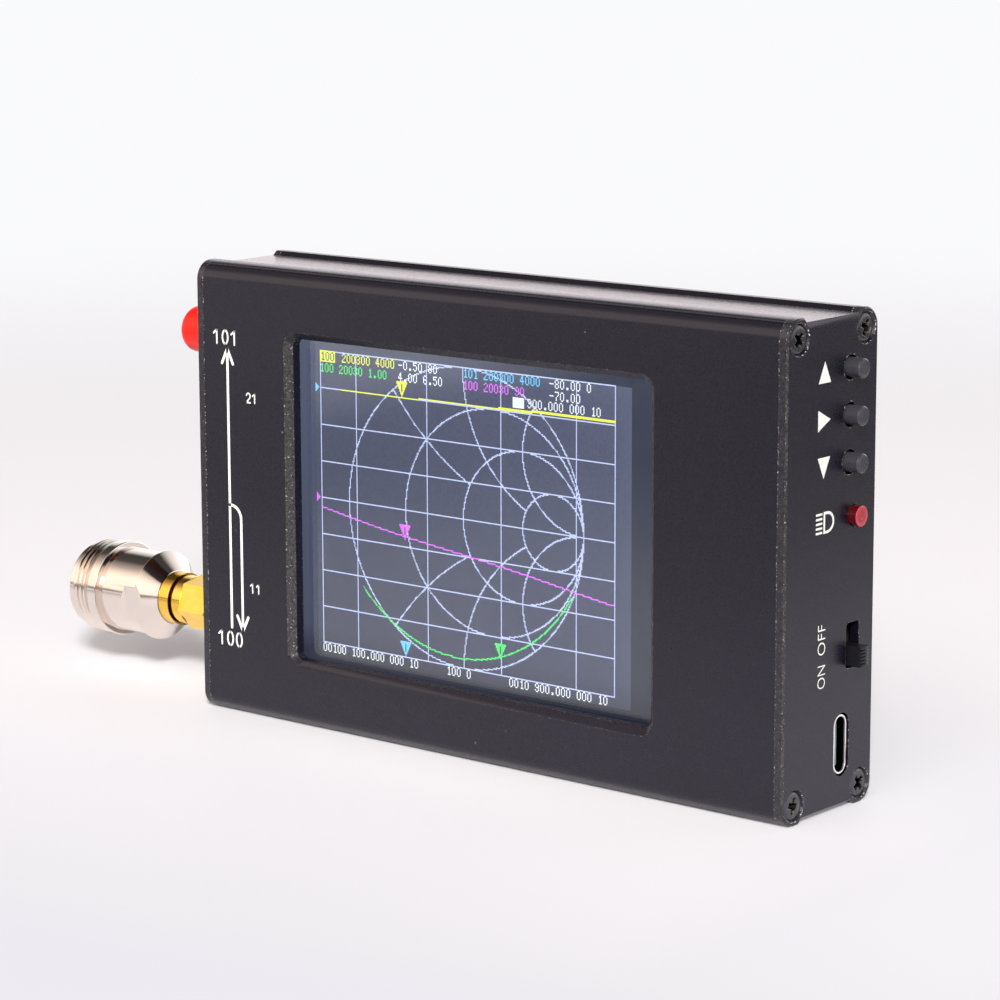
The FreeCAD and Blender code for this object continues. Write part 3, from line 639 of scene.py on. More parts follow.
# what all moulded pieces share, and all pieces of sheet metal
mouldedSettings = {
    "cloudSize": 3.0,
    "paler": 1.35,
    "lift": 0.004,
    "swing": (-0.04, 0.04),
    "edgeRound": 0.06,
}
sheetSettings = {
    "cloudSize": 2.0,
    "paler": 0.8,
    "lift": 0.0,
    "swing": (-0.06, 0.08),
    "edgeRound": 0.08,
    "grainDepth": 0.002,
}


def grained(made, s, colour, roughness, grain, depth):
    other = tuple(min(1.0, c * s["paler"] + s["lift"]) for c in colour)
    made.setTo("Base Color", made.blend(made.noise(s["cloudSize"]), colour, other))
    made.setTo("Roughness", made.swing(grain, *(roughness + change for change in s["swing"])))
    made.roundEdges(s["edgeRound"])
    made.bump(grain, depth)
    return made.done()


def moulded(name, colour, roughness, grainSize=0.12, grainDepth=0.004, **more):
    # moulded plastic or rubber with a fine grain
    made = Finish(name, colour, roughness, **more)
    return grained(made, mouldedSettings, colour, roughness, made.noise(grainSize), grainDepth)


def metalSheet(name, colour, roughness, grainSize=0.3, stretch=(1.0, 1.0, 0.08)):
    # tinned or rolled sheet with a faint direction
    made = Finish(name, colour, roughness, 1.0)
    grain = made.noise(grainSize, stretch=stretch)
    return grained(made, sheetSettings, colour, roughness, grain, sheetSettings["grainDepth"])


nickelSettings = {
    "colour": (0.76, 0.70, 0.66),
    "colourWarm": (0.80, 0.72, 0.66),
    "roughness": 0.08,
    "haze": 0.06,
    "hazeSize": 2.5,
    "markPitch": 0.12,
    "markDepth": 0.0015,
    "markStretch": 0.02,
}
goldSettings = dict(nickelSettings, colour=(0.90, 0.55, 0.08), colourWarm=(0.92, 0.60, 0.13), roughness=0.12)
caseMetal = anodised("case metal", caseSettings)
plateMetal = anodised("plate metal", dict(caseSettings, **plateChanges))
nickel = polished("polished nickel", nickelSettings)
gold = polished("polished gold", goldSettings)
switchBlack = moulded("switch body black", (0.012, 0.012, 0.013), 0.5)
print("main finishes made")


# case shells: the front one is set back a hair to carry its printing
shellSettings = {
    "inkThick": 0.03,
    "smoothAngle": 25,
    "flatAngle": 0.4,
    "flatWeight": 100,
    "slotHalf": 1.68,
    "slotLow": 0.1,
    "slotHigh": 2.9,
    "slotCorner": 0.5,
    "slotReach": 1.0,
}


def squareSlot():
    # right end plate, the ends of its switch slot cut squarer
    s = shellSettings
    low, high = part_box("power_switch_knob")
    middle = (low.y + high.y) / 2 / mm
    cutter = bmesh.new()
    addBlock(cutter, (rightFace - plateThick - s["slotReach"], middle - s["slotHalf"], low.z / mm + s["slotLow"]),
             (rightFace + s["slotReach"], middle + s["slotHalf"], high.z / mm + s["slotHigh"]))
    bmesh.ops.recalc_face_normals(cutter, faces=cutter.faces)
    corners = [edge for edge in cutter.edges if abs(edge.verts[0].co.x - edge.verts[1].co.x) > mm]
    roundOff(cutter, corners, s["slotCorner"], 4)
    mesh = cutAway(meshFromShape("plate", copyNode("right_end_plate")), [cutter])
    dress("right_end_plate", mesh, [plateMetal], "case", s["smoothAngle"])


def dressCase():
    s = shellSettings
    shape = copyNode("front_shell")
    for vert in shape.verts:
        vert.co.y = max(vert.co.y, (frontFace + s["inkThick"]) * mm)
    # whole flat faces, so that the shading doesn't show their triangles
    flat = math.radians(s["flatAngle"])
    bmesh.ops.dissolve_limit(shape, angle_limit=flat, verts=shape.verts, edges=shape.edges)
    mesh = meshFromShape("front shell", shape)
    mesh.materials.append(caseMetal)
    mesh = smoothed(mesh, s["smoothAngle"], s["flatWeight"])
    dress("front_shell", mesh, [caseMetal], "case")
    paint(caseMetal, "back_shell")
    paint(plateMetal, "left_end_plate")
    squareSlot()


dressCase()
print("case dressed")

# printing: labels are (digits, a, b, height, line), words are (text, a, b, width, height)
printSettings = {
    "ink": (0.86, 0.85, 0.82),
    "inkDull": (0.78, 0.77, 0.74),
    "patches": 0.5,
    "grainSize": 0.08,
    "grainDepth": 0.002,
    "line": 0.5,
    "upX": -51.05,
    "upLow": 14.4,
    "upTip": 60.0,
    "downX": -48.6,
    "downTip": 14.05,
    "bendHigh": 34.6,
    "bendRadius": 2.2,
    "headLong": 2.4,
    "headHalf": 1.2,
    "labels": (("101", -54.2, 60.7, 2.2, 0.32), ("100", -54.25, 11.35, 2.25, 0.32),
               ("21", -47.1, 51.7, 1.5, 0.24), ("11", -46.9, 20.7, 1.5, 0.24)),
    "digitPitch": 0.88,  # of a digit's height
    "sideProud": 0.012,
    "signY": -2.1,
    "signSize": 3.1,
    "words": (("OFF", -2.0, 26.35, 4.5, 1.9), ("ON", -1.95, 20.85, 3.45, 1.9)),
    "thin": -0.012,
}
# beam sign beside the lamp, from a point level with the lamp
beamSettings = {
    "y": -1.1,
    "bars": 5,
    "barEnds": (-2.75, -1.15),
    "barHalf": 0.16,
    "barRise": 1.35,
    # back, start of the bow, half height, depth of the bow
    "outer": (-0.85, 0.1, 1.6, 1.75),
    "inner": (-0.45, 0.05, 1.2, 1.4),
}


def inkFinish():
    p = printSettings
    made = Finish("white ink", p["ink"], 0.5)
    made.setTo("Base Color", made.blend(made.noise(p["patches"]), p["ink"], p["inkDull"]))
    made.bump(made.noise(p["grainSize"]), p["grainDepth"])
    return made.done()


whiteInk = inkFinish()


def strokeOutline(points, width, steps=6):
    # outline of a round-ended stroke along a polyline
    def side(sign):
        out = []
        for k, point in enumerate(points):
            runs = [Vector(b) - Vector(a) for a, b in zip(points, points[1:])][max(k - 1, 0):k + 1]
            normals = [Vector((-run.y, run.x)).normalized() for run in runs]
            across = sum(normals, Vector((0, 0))).normalized()
            out.append(Vector(point) + across * (width / 2 * sign / across.dot(normals[0])))
        return out

    def cap(centre, start):
        arm = start - Vector(centre)
        return [Vector(centre) + Matrix.Rotation(-math.pi * k / steps, 2) @ arm for k in range(1, steps)]

    left = side(1)
    right = side(-1)
    outline = left + cap(points[-1], left[-1]) + right[::-1] + cap(points[0], right[0])
    return [(p.x, p.y) for p in outline]


def addWord(shape, word, place):
    # adds an upright text fitted to a width and a height, through a placing function of (a, b, level)
    text, a, b, wide, high = word
    curve = bpy.data.curves.new("lettering", "FONT")
    curve.body = text
    curve.extrude = 0.1
    curve.offset = printSettings["thin"]
    curve.resolution_u = 3
    mesh = evaluated(linked("lettering", curve))
    low, top = (Vector([pick(v.co[k] for v in mesh.vertices) for k in range(3)]) for pick in (min, max))
    size = top - low
    fit = Matrix.Diagonal((wide / size.x, high / size.y, 1, 1)) @ Matrix.Translation(-(low + top) / 2)
    mesh.transform(Matrix.Rotation(math.radians(90), 4, "Z") @ fit)
    start = len(shape.verts)
    shape.from_mesh(mesh)
    shape.verts.ensure_lookup_table()
    for vert in shape.verts[start:]:
        vert.co = place(a + vert.co.x, b + vert.co.y, 1 if vert.co.z > 0 else 0)


# digits drawn as strokes, one unit high
digitStrokes = {
    "0": (arc(0.36, 0.5, 0.27, 0.5, 90, 270), arc(0.36, 0.5, 0.27, 0.5, 90, -90)),
    "1": (((0.1, 0.74), (0.4, 1.0)), ((0.4, 1.0), (0.4, 0.0))),
    "2": (arc(0.36, 0.7, 0.27, 0.3, 165, -35) + [(0.08, 0.0)], ((0.08, 0.0), (0.64, 0.0))),
}


def addDigits(shape, label, place):
    # a line of digits whose lower left corner is at (a, b)
    text, a, b, high, line = label
    for k, digit in enumerate(text):
        for stroke in digitStrokes[digit]:
            points = [(a + (u + printSettings["digitPitch"] * k) * high, b + v * high) for u, v in stroke]
            addSolid(shape, strokeOutline(points, line), place)


def frontPlace(a, b, level):
    # ink on the front face, from its set-back ground to the case's true face
    return Vector((caseMiddle + a, frontFace + shellSettings["inkThick"] * (1 - level), b)) * mm


def sidePlace(a, b, level):
    # ink on the right end plate, half sunk in its face
    proud = printSettings["sideProud"]
    return Vector((rightFace - proud + 2 * proud * level, a, b)) * mm


def addStroke(shape, *points):
    addSolid(shape, strokeOutline(points, printSettings["line"]), frontPlace)


def addArrowhead(shape, x, tip, way):
    # two round-ended strokes that meet at the tip
    long = printSettings["headLong"] * way
    for half in (-printSettings["headHalf"], printSettings["headHalf"]):
        addStroke(shape, (x + half, tip - long), (x, tip))


def printFront():
    # a straight arrow up, and one down that branches off it in a bend
    p = printSettings
    shape = bmesh.new()
    addStroke(shape, (p["upX"], p["upLow"]), (p["upX"], p["upTip"]))
    addArrowhead(shape, p["upX"], p["upTip"], 1)
    r = p["bendRadius"]
    bend = arc(p["downX"] - r, p["bendHigh"] - r, r, r, 90, 0, 8)
    addStroke(shape, (p["upX"], p["bendHigh"]), *bend, (p["downX"], p["downTip"]))
    addArrowhead(shape, p["downX"], p["downTip"], -1)
    for label in p["labels"]:
        addDigits(shape, label, frontPlace)
    addObject("front_print", meshFromShape("front print", shape), [whiteInk], "case")


def addBeamSign(shape, middle):
    # short bars beside a D-shaped outline
    s = beamSettings

    def place(a, b, level):
        return sidePlace(s["y"] + a, middle + b, level)

    start, end = s["barEnds"]
    for k in range(s["bars"]):
        z = s["barRise"] * (1 - 2 * k / (s["bars"] - 1))
        high, low = z + s["barHalf"], z - s["barHalf"]
        addSolid(shape, [(start, high), (end, high), (end, low), (start, low)], place)
    outlines = []
    for back, bend, half, bow in (s["outer"], s["inner"]):
        outlines.append([(back, half)] + arc(bend, 0, bow, half, 90, -90, 12) + [(back, -half)])
    outer, inner = outlines
    rings = []
    for outline, level in ((outer, 0), (outer, 1), (inner, 1), (inner, 0)):
        rings.append([shape.verts.new(place(a, b, level)) for a, b in outline])
    joinRings(shape, rings, len(outer))


def printSide():
    p = printSettings
    shape = bmesh.new()
    half = p["signSize"] / 2
    triangle = [(0, half), (-half, -half), (half, -half)]
    for node, turn in (("up_button", 0), ("select_button", -90), ("down_button", 180)):
        spin = Matrix.Rotation(math.radians(turn), 2)
        middle = Vector((p["signY"], nodeAxis(node)[0][1]))
        addSolid(shape, [tuple(spin @ Vector(point) + middle) for point in triangle], sidePlace)
    for word in p["words"]:
        addWord(shape, word, sidePlace)
    addBeamSign(shape, nodeAxis("indicator_lamp")[0][1])
    addObject("side_print", meshFromShape("side print", shape), [whiteInk], "case")


printFront()
printSide()
print("printing done")

# display: lit picture, panel, glass
screenSettings = {
    "dot": 0.2025,
    "gridX": -34.26,
    "gridZ": 60.79,
    "wide": 320,  # dots
    "tall": 240,
    "startDots": 15,  # dots of the panel to the left of the grid
    "pictureGap": 0.03,
    "dotEdge": 0.04,  # share of a dot that stays dark on each side
    "flicker": (0.6, 0.86),
    "level": 1.0,
    "ground": (0.080, 0.092, 0.154),
    "groundEdge": (0.100, 0.118, 0.190),
    "groundSpot": (0.2, 0.22, 0.3),
    "spotSize": 0.35,
    "spots": 0.12,
    "glowWide": 3.0,
    "glow": 0.6,
    "edgeSoft": 0.05,
    # the unlit border's colours are a painted glow, paler on the left
    "unlitGlow": (0.112, 0.126, 0.186),
    "unlitGlowRight": (0.030, 0.038, 0.066),
    # changes of the level: from left to right, from foot to top, and along the foot
    "across": (-0.14, 0.1),
    "upward": (-0.14, 0.16),
    "footDim": -0.35,
    "footTall": 4.0,
}
glassSettings = {
    "clear": (0.95, 0.97, 1.0),
    "smeared": (0.9, 0.93, 0.97),
    "smearSize": 14.0,
    "gap": 0.06,
    "edgeRound": 0.12,
}
inks = {
    "white": (0.82, 0.92, 1.3),
    "text": (1.3, 1.35, 1.4),
    "yellow": (1.3, 1.4, 0.12),
    "magenta": (1.15, 0.26, 1.45),
    "cyan": (0.26, 0.95, 1.5),
    "green": (0.12, 1.25, 0.26),
}
# the picture in dots, from the grid's upper left corner
pictureSettings = {
    "shown": (-6, 300),
    "columns": (0, 37, 109, 182, 254, 290),
    "rowStep": 29,
    "rows": 8,
    "circle": (145, 116, 116),
    "resistances": (1 / 3, 1, 3),
    # a reactance, and the resistance whose circle ends its arcs
    "reactances": ((0.5, 1), (1, 3), (2, 40)),
    # traces: (ink, row at each column, first column, steps)
    "traces": (
        ("yellow", lambda u: 29.4 - 2.6 * u / 290, 22, 600), ("yellow", lambda u: 28.4 - 2.6 * u / 290, 180, 300),
        ("magenta", lambda u: 123.5 + 0.15 * u - 0.00005 * u * u + math.sin(u / 40), 0, 600),
    ),
    # one more trace round the chart: its radius at each angle, its two ends, steps
    "swing": (lambda t: 108 + 11 * ((t - 75) / 65) ** 2, 24, 147, 900),
    "gridSteps": 500,
    "ringSteps": 2200,
    # number signs on the traces: (column, height, ink)
    "wedges": ((84, 28.5, "yellow"), (86, 139, "magenta"), (86, 231, "cyan"), (181, 219, "green")),
    "wedgeTall": 12,
    "wedgeHalf": 5.9,
    "pointers": ((29, "cyan"), (116, "magenta")),
    # filled blocks: (columns, rows, ink)
    "blocks": (((0, 16), (0, 9), "yellow"), ((194, 205), (18, 26), "text")),
    "letterPitch": 5,
    "texts": (
        ("100", 1, 1, None), (" 200300 4000", 18, 1, "yellow"), ("100 20030 1.00", 0, 10, "green"),
        ("-0.50 80", 81, 1, "text"), ("4.00 6.50", 81, 10, "text"), ("101 200300 4000", 146, 1, "cyan"),
        ("100 20030 90", 146, 10, "magenta"), ("-80.00 0", 229, 1, "text"), ("-70.00", 229, 10, "text"),
        ("300.000 000 10", 208, 18, "text"), ("00100 100.000 000 10", 0, 233, "text"),
        ("100 0", 128, 233, "text"), ("0010 900.000 000 10", 190, 233, "text"),
    ),
}
# columns of seven dots, the lowest bit at the top
digitColumns = {
    "0": (62, 65, 65, 62), "1": (0, 66, 127, 64), "2": (98, 81, 73, 70), "3": (34, 73, 73, 54),
    "4": (24, 22, 127, 16), "5": (39, 69, 69, 57), "6": (62, 73, 73, 50), "7": (1, 113, 9, 7),
    "8": (54, 73, 73, 54), "9": (38, 73, 73, 62), "-": (8, 8, 8, 8), ".": (0, 96, 96, 0), " ": (0, 0, 0, 0),
}


class Picture:
    # lit dots by (column, row); later ones lie over earlier ones
    def __init__(self):
        self.lit = {}

    def dot(self, u, v, ink):
        first, last = pictureSettings["shown"]
        u, v = round(u), round(v)
        if first <= u <= last and 0 <= v <= screenSettings["tall"]:
            self.lit[u, v] = ink

    def curve(self, ink, point, start, end, count, keep=None):
        for k in range(count + 1):
            u, v = point(start + (end - start) * k / count)
            if keep is None or keep(u, v):
                self.dot(u, v, ink)

    def ring(self, u, v, r, keep=None):
        self.curve("white", lambda t: (u + r * math.cos(t), v + r * math.sin(t)), 0, 2 * math.pi,
                   pictureSettings["ringSteps"], keep)

    def write(self, text, u, v, ink):
        for place, letter in enumerate(text):
            for k, bits in enumerate(digitColumns[letter]):
                for row in range(7):
                    if bits >> row & 1:
                        self.dot(u + place * pictureSettings["letterPitch"] + k, v + row, ink)


def drawGrid(picture):
    # straight grid, and the round chart of resistance and reactance circles over it
    s = pictureSettings
    for u in s["columns"]:
        picture.curve("white", lambda t: (u, t), 0, s["rowStep"] * s["rows"], s["gridSteps"])
    for row in range(s["rows"] + 1):
        picture.curve("white", lambda t: (t, row * s["rowStep"]), 0, s["columns"][-1], s["gridSteps"])
    middle, level, whole = s["circle"]
    right = middle + whole

    def within(u, v, radius):
        return math.hypot(u - (right - radius), v - level) <= radius

    picture.ring(middle, level, whole)
    for resistance in s["resistances"]:
        r = whole / (1 + resistance)
        picture.ring(right - r, level, r)
    for reactance, stop in s["reactances"]:
        r = whole / reactance
        hidden = whole / (1 + stop)
        for way in (-1, 1):
            picture.ring(right, level + way * r, r, lambda u, v: within(u, v, whole) and not within(u, v, hidden))


def drawTraces(picture):
    s = pictureSettings
    end = s["columns"][-1]
    middle, level = s["circle"][:2]
    for ink, row, start, steps in s["traces"]:
        picture.curve(ink, lambda u: (u, row(u)), start, end, steps)
    radius, start, stop, steps = s["swing"]

    def swing(t):
        angle = math.radians(t)
        return middle + radius(t) * math.cos(angle), level + radius(t) * math.sin(angle)
    picture.curve("green", swing, start, stop, steps)


def drawSigns(picture):
    # numbered wedges over the traces, and pointers at the left edge
    s = pictureSettings
    for u, v, ink in s["wedges"]:
        for row in range(s["wedgeTall"]):
            half = int(s["wedgeHalf"] - row / 2)
            for k in range(u - half, u + half + 1):
                stroke = k == u and 1 < row < 8
                picture.dot(k, round(v) - 11 + row, None if stroke else ink)
    for v, ink in s["pointers"]:
        for k in range(4):
            for step in range(-3 + k, 4 - k):
                picture.dot(-5 + k, v + step, ink)


def drawTexts(picture):
    for columns, rows, ink in pictureSettings["blocks"]:
        for u in range(*columns):
            for v in range(*rows):
                picture.dot(u, v, ink)
    for text in pictureSettings["texts"]:
        picture.write(*text)


def litFinish(name, colour):
    size, low = screenSettings["flicker"]
    made = Finish("lit " + name, (0, 0, 0), 1.0, Specular_IOR_Level=0.0)
    flicker = made.swing(made.noise(size, 2.0), low, 1.0)
    made.setTo("Emission Color", made.blend(flicker, (0, 0, 0), colour))
    made.setTo("Emission Strength", screenSettings["level"])
    return made.done()


def buildPicture():
    # one flat face for each run of dots of one ink
    s = screenSettings
    picture = Picture()
    for draw in (drawGrid, drawTraces, drawSigns, drawTexts):
        draw(picture)
    lit = picture.lit
    names = list(inks)
    shape = bmesh.new()
    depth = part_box("lcd_panel")[0].y / mm - s["pictureGap"]
    edge = s["dot"] * s["dotEdge"]

    def spot(u, v):
        return caseMiddle + s["gridX"] + u * s["dot"], s["gridZ"] - v * s["dot"]

    first, last = pictureSettings["shown"]
    for v in range(s["tall"] + 1):
        u = first - 1
        while u <= last:
            u += 1
            ink = lit.get((u, v))
            if ink is None:
                continue
            start = u
            while lit.get((u + 1, v)) == ink:
                u += 1
            left, top = spot(start - 0.5, v - 0.5)
            right, foot = spot(u + 0.5, v + 0.5)
            left, right, top, foot = left + edge, right - edge, top - edge, foot + edge
            corners = [(left, foot), (right, foot), (right, top), (left, top)]
            face = shape.faces.new([shape.verts.new(Vector((x, depth, z)) * mm) for x, z in corners])
            face.material_index = names.index(ink)
    materials = [litFinish(name, colour) for name, colour in inks.items()]
    addObject("display_picture", meshFromShape("picture", shape), materials, "case")
    print("picture dots:", len(lit))


def panelFinish():
    # lit ground of the display, bluer towards its edges, with a dark unlit border that is given a faint painted glow
    s = screenSettings
    made = Finish("display panel", (0, 0, 0), 1.0, Specular_IOR_Level=0.0)
    left = (caseMiddle + s["gridX"] - s["startDots"] * s["dot"]) * mm
    wide = s["wide"] * s["dot"] * mm
    top = s["gridZ"] * mm
    tall = s["tall"] * s["dot"] * mm
    foot = top - tall
    spot = made.parts(made.coords)
    awayX = made.minus(wide / 2, made.size(made.minus(spot["X"], left + wide / 2)))
    awayZ = made.minus(tall / 2, made.size(made.minus(spot["Z"], top - tall / 2)))
    away = made.least(awayX, awayZ)
    inside = made.spread(away, -s["edgeSoft"] * mm, s["edgeSoft"] * mm)
    glow = made.times(made.spread(away, s["glowWide"] * mm, 0.0), s["glow"])
    ground = made.blend(glow, s["ground"], s["groundEdge"])
    spots = made.swing(made.noise(s["spotSize"], 1.0), 0.0, s["spots"])
    ground = made.blend(spots, ground, s["groundSpot"])
    # painted glow on the unlit border
    unlitGlow = made.blend(made.spread(spot["X"], left, left + wide), s["unlitGlow"], s["unlitGlowRight"])
    made.setTo("Emission Color", made.blend(inside, unlitGlow, ground))
    across = made.spread(spot["X"], left, left + wide, *s["across"])
    upward = made.spread(spot["Z"], foot, top, *(s["level"] + change for change in s["upward"]))
    dim = made.spread(spot["Z"], foot, foot + s["footTall"] * mm, s["footDim"], 0.0)
    made.setTo("Emission Strength", made.plus(made.plus(across, upward), dim))
    return made.done()


def buildGlass():
    # touch glass, its back face a hair clear of the picture
    s = glassSettings
    low, high = (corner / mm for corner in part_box("touch_glass"))
    made = Finish("touch glass", s["clear"], 0.0, Transmission_Weight=1.0, IOR=1.5)
    smear = made.spread(made.noise(s["smearSize"], 4.0), 0.35, 0.7)
    made.setTo("Base Color", made.blend(smear, s["clear"], s["smeared"]))
    shape = bmesh.new()
    addBlock(shape, low, (high.x, high.y - s["gap"], high.z))
    bmesh.ops.recalc_face_normals(shape, faces=shape.faces)
    roundOff(shape, shape.edges[:], s["edgeRound"])
    dress("touch_glass", meshFromShape("glass", shape), [made.done()], "case", 30)


buildPicture()
buildGlass()
darkFoam = moulded("dark foam", (0.02, 0.02, 0.022), 0.9, 0.3, 0.03)
paint(panelFinish(), "lcd_panel")
paint(moulded("black foam", (0.008, 0.008, 0.008), 0.85, 0.25, 0.02), "display_gasket")
paint(darkFoam, "display_foam_pads", "battery_pad")
print("display made")

# end plate screws, cross-headed: black oxide steel, with painted highlights on their rims and painted shade down in
# the cross
screwSettings = {
    "sunk": 0.12,
    "section": (
        (0.0, 0.0, 0), (0.0, 1.2, 0.3), (-0.05, 1.75, 0.3), (-0.2, 2.05, 0.12), (-0.32, 2.2, 0.05),
        (-1.3, 1.25, 0.1), (-7.6, 1.25, 0.1), (-8.0, 0.85, 0), (-8.0, 0.0, 0),
    ),
    "armLong": 1.42,
    "armWide": 0.95,
    "armDeep": 1.5,
    "armProud": 0.3,
    "armTaper": (0.4, 0.5),
    "steel": (0.07, 0.07, 0.08),
    "steelPale": (0.14, 0.14, 0.15),
    "steelPatch": 0.4,
    # painted highlight: the pale rim colour along the screws' edges
    "rim": (0.42, 0.40, 0.38),
    "rimHighlightWide": 0.12,
    # painted shade: the next colour darkens the screws down in the cross
    "crossShade": (0.012, 0.012, 0.012),
    "crossShadeDepths": (0.5, 0.24),
    "roughness": (0.24, 0.36),
    "roughPatch": 0.25,
    "edgeRound": 0.08,
    "grainSize": 0.15,
    "grainDepth": 0.002,
    "looseTurn": math.tau,
    "seeds": (4, 9),
}


def screwFinish():
    s = screwSettings
    made = Finish("black oxide steel", s["steel"], 0.3, 1.0)
    place = made.parts(made.coords)
    outward = made.size(made.minus(place["X"], caseMiddle * mm))
    top = (rightFace - caseMiddle) * mm
    # painted shade, darker down in the cross by depth below the head
    down = made.spread(outward, *(top - depth * mm for depth in s["crossShadeDepths"]), 1.0, 0.0)
    colour = made.blend(made.noise(s["steelPatch"]), s["steel"], s["steelPale"])
    # painted highlight along the edges of the heads
    colour = made.blend(made.edges(s["rimHighlightWide"], 0.02, 0.2), colour, s["rim"])
    made.setTo("Base Color", made.blend(down, colour, s["crossShade"]))
    made.setTo("Roughness", made.swing(made.noise(s["roughPatch"]), *s["roughness"]))
    made.roundEdges(s["edgeRound"])
    made.bump(made.noise(s["grainSize"]), s["grainDepth"])
    return made.done()


def screwModel():
    # one countersunk screw, its head at the origin facing +X
    s = screwSettings
    long, wide = s["armLong"], s["armWide"] / 2

    def place(a, b, level):
        if level:
            return Vector((s["armProud"], a, b)) * mm
        return Vector((-s["armDeep"], a * s["armTaper"][0], b * s["armTaper"][1])) * mm

    arms = []
    for turn in (0, 90):
        arm = bmesh.new()
        addSolid(arm, [(-long, -wide), (long, -wide), (long, wide), (-long, wide)], place)
        spin = Matrix.Rotation(math.radians(turn), 3, "X")
        bmesh.ops.rotate(arm, verts=arm.verts, cent=(0, 0, 0), matrix=spin)
        arms.append(arm)
    mesh = cutAway(turnedMesh("screw", s["section"], (0, 0), 40), arms)
    return linked("screw model", smoothed(mesh, 35))


def setScrews():
    s = screwSettings
    model = screwModel()
    steel = screwFinish()
    for node, x, facing, seed in (("right_plate_screws", rightFace - s["sunk"], 0.0, s["seeds"][0]),
                                  ("left_plate_screws", leftFace + s["sunk"], math.pi, s["seeds"][1])):
        places = [Vector((x, y, z)) * mm for y, z in screwAxes(node)]
        mesh = copied(model, places, Facing=facing, LooseTurn=s["looseTurn"], Seed=seed, Finish=steel)
        dress(node, mesh, [steel], "case", 35)
    bpy.data.objects.remove(model)


setScrews()
print("screws set")

# controls on the right end plate
controlSettings = {
    "buttonColour": (0.030, 0.030, 0.038),
    "buttonRim": 0.24,
    "dish": 0.05,
    "dishInset": 0.5,
    "knobColour": (0.005, 0.005, 0.007),
    "knobSide": 0.5,
    "knobFoot": 1.4,
    "knobRibs": 6,
    "knobRibDeep": 0.3,
    "knobCrest": 0.3,  # share of a rib's pitch from the groove's middle to the crest
    "knobGroove": 0.08,
    "knobRound": 0.06,
}
lampSettings = {
    "rim": 0.14,
    # the body's deep red is partly painted shade on the lamp's sides
    "side": (0.07, 0.002, 0.003),
    "face": (0.25, 0.034, 0.042),
    # the face's paler colour serves its random mottle and a painted highlight round its rim
    "faceMottleAndHighlight": (0.42, 0.05, 0.07),
    "faceDepths": (0.10, 0.02),
    # a painted highlight ring on the face, between these radii
    "rimHighlightRadii": (0.9, 1.3),
    "glow": (0.35, 0.02, 0.03),
    "glowPower": 0.15,
    "mottleSize": 0.5,
    "mottleDepth": 0.01,
}
socketSettings = {
    "lipRound": 0.05,
    "nickel": (0.97, 0.95, 0.92),
    # painted shade: the dark colour down in the socket's mouth
    "dark": (0.03, 0.026, 0.024),
    "mouthShadeDepths": (0.35, 0.1),
    "padPitch": 0.5,
    "padCount": 12,
    "padWide": 0.28,
    "padLong": 4.2,
    "padThick": 0.02,
    "padInset": 0.3,
}


def buildButtons():
    s = controlSettings
    buttonBlack = moulded("button black", s["buttonColour"], 0.28)
    for name in ("up", "select", "down"):
        node = name + "_button"
        centre, r, x0, x1 = nodeAxis(node)
        rim, floor = s["buttonRim"], x1 - s["dish"]
        section = ((x0, 0, 0), (x0, r, 0.1), (x1 - rim, r, 0.06), (x1, r - rim, 0.08),
                   (floor, r - s["dishInset"], 0.1), (floor, 0, 0))
        dress(node, turnedMesh(node, section, centre, 64), [buttonBlack], node, 30)
        paint(switchBlack, name + "_switch")


def lampFinish(centre, tip):
    # clear red lamp: a brighter face and a deeper red body, partly from light scattered out of the clear plastic and
    # partly painted light and shade, with a painted highlight round the face's rim
    s = lampSettings
    made = Finish("red lamp", s["side"], 0.2, IOR=1.49)
    spot = made.parts(made.coords)
    face = made.spread(spot["X"], *((tip - depth) * mm for depth in s["faceDepths"]))
    rim = made.spread(made.fromAxis(spot, centre), *(radius * mm for radius in s["rimHighlightRadii"]))
    mottled = made.noise(s["mottleSize"])
    # painted highlight round the face's rim, with a random mottle
    light = made.most(rim, made.spread(mottled, 0.5, 0.7))
    made.setTo("Base Color", made.blend(face, s["side"], made.blend(light, s["face"], s["faceMottleAndHighlight"])))
    made.setTo("Emission Color", made.blend(face, (0, 0, 0), s["glow"]))
    made.setTo("Emission Strength", s["glowPower"])
    made.bump(mottled, s["mottleDepth"])
    return made.done()


def buildLamp():
    centre, r, x0, x1 = nodeAxis("indicator_lamp")
    section = ((x0, 0, 0), (x0, r, 0), (x1, r, lampSettings["rim"]), (x1, 0, 0))
    mesh = turnedMesh("lamp", section, centre, 64)
    dress("indicator_lamp", mesh, [lampFinish(centre, x1)], "case", 30)
    paint(switchBlack, "lamp_holder")
    paint(metalSheet("tinned wire", (0.7, 0.7, 0.68), 0.3), "lamp_legs")


def buildKnob():
    # switch knob on its wider foot, its end cut into grip ribs
    s = controlSettings
    low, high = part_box("power_switch_knob")
    foot, tip, z0, z1 = (value / mm for value in (low.x, high.x, low.z, high.z))
    shoulder = foot + s["knobFoot"]
    groove = tip - s["knobRibDeep"]
    z2, z3 = z0 + s["knobSide"], z1 - s["knobSide"]
    pitch = (z3 - z2) / s["knobRibs"]
    outline = [(foot, z0), (shoulder, z0), (shoulder, z2), (tip, z2)]
    for k in range(1, s["knobRibs"]):
        z = z2 + k * pitch
        wide, narrow = s["knobCrest"] * pitch, s["knobGroove"] * pitch
        outline += [(tip, z - wide), (groove, z - narrow), (groove, z + narrow), (tip, z + wide)]
    outline += [(tip, z3), (shoulder, z3), (shoulder, z1), (foot, z1)]
    shape = bmesh.new()
    addSolid(shape, outline, lambda a, b, level: Vector((a * mm, high.y if level else low.y, b * mm)))
    bmesh.ops.recalc_face_normals(shape, faces=shape.faces)
    roundOff(shape, shape.edges[:], s["knobRound"])
    knobBlack = moulded("knob black", s["knobColour"], 0.30, Specular_IOR_Level=0.26)
    dress("power_switch_knob", meshFromShape("knob", shape), [knobBlack], "power_knob", 40)
    paint(switchBlack, "power_switch_body")


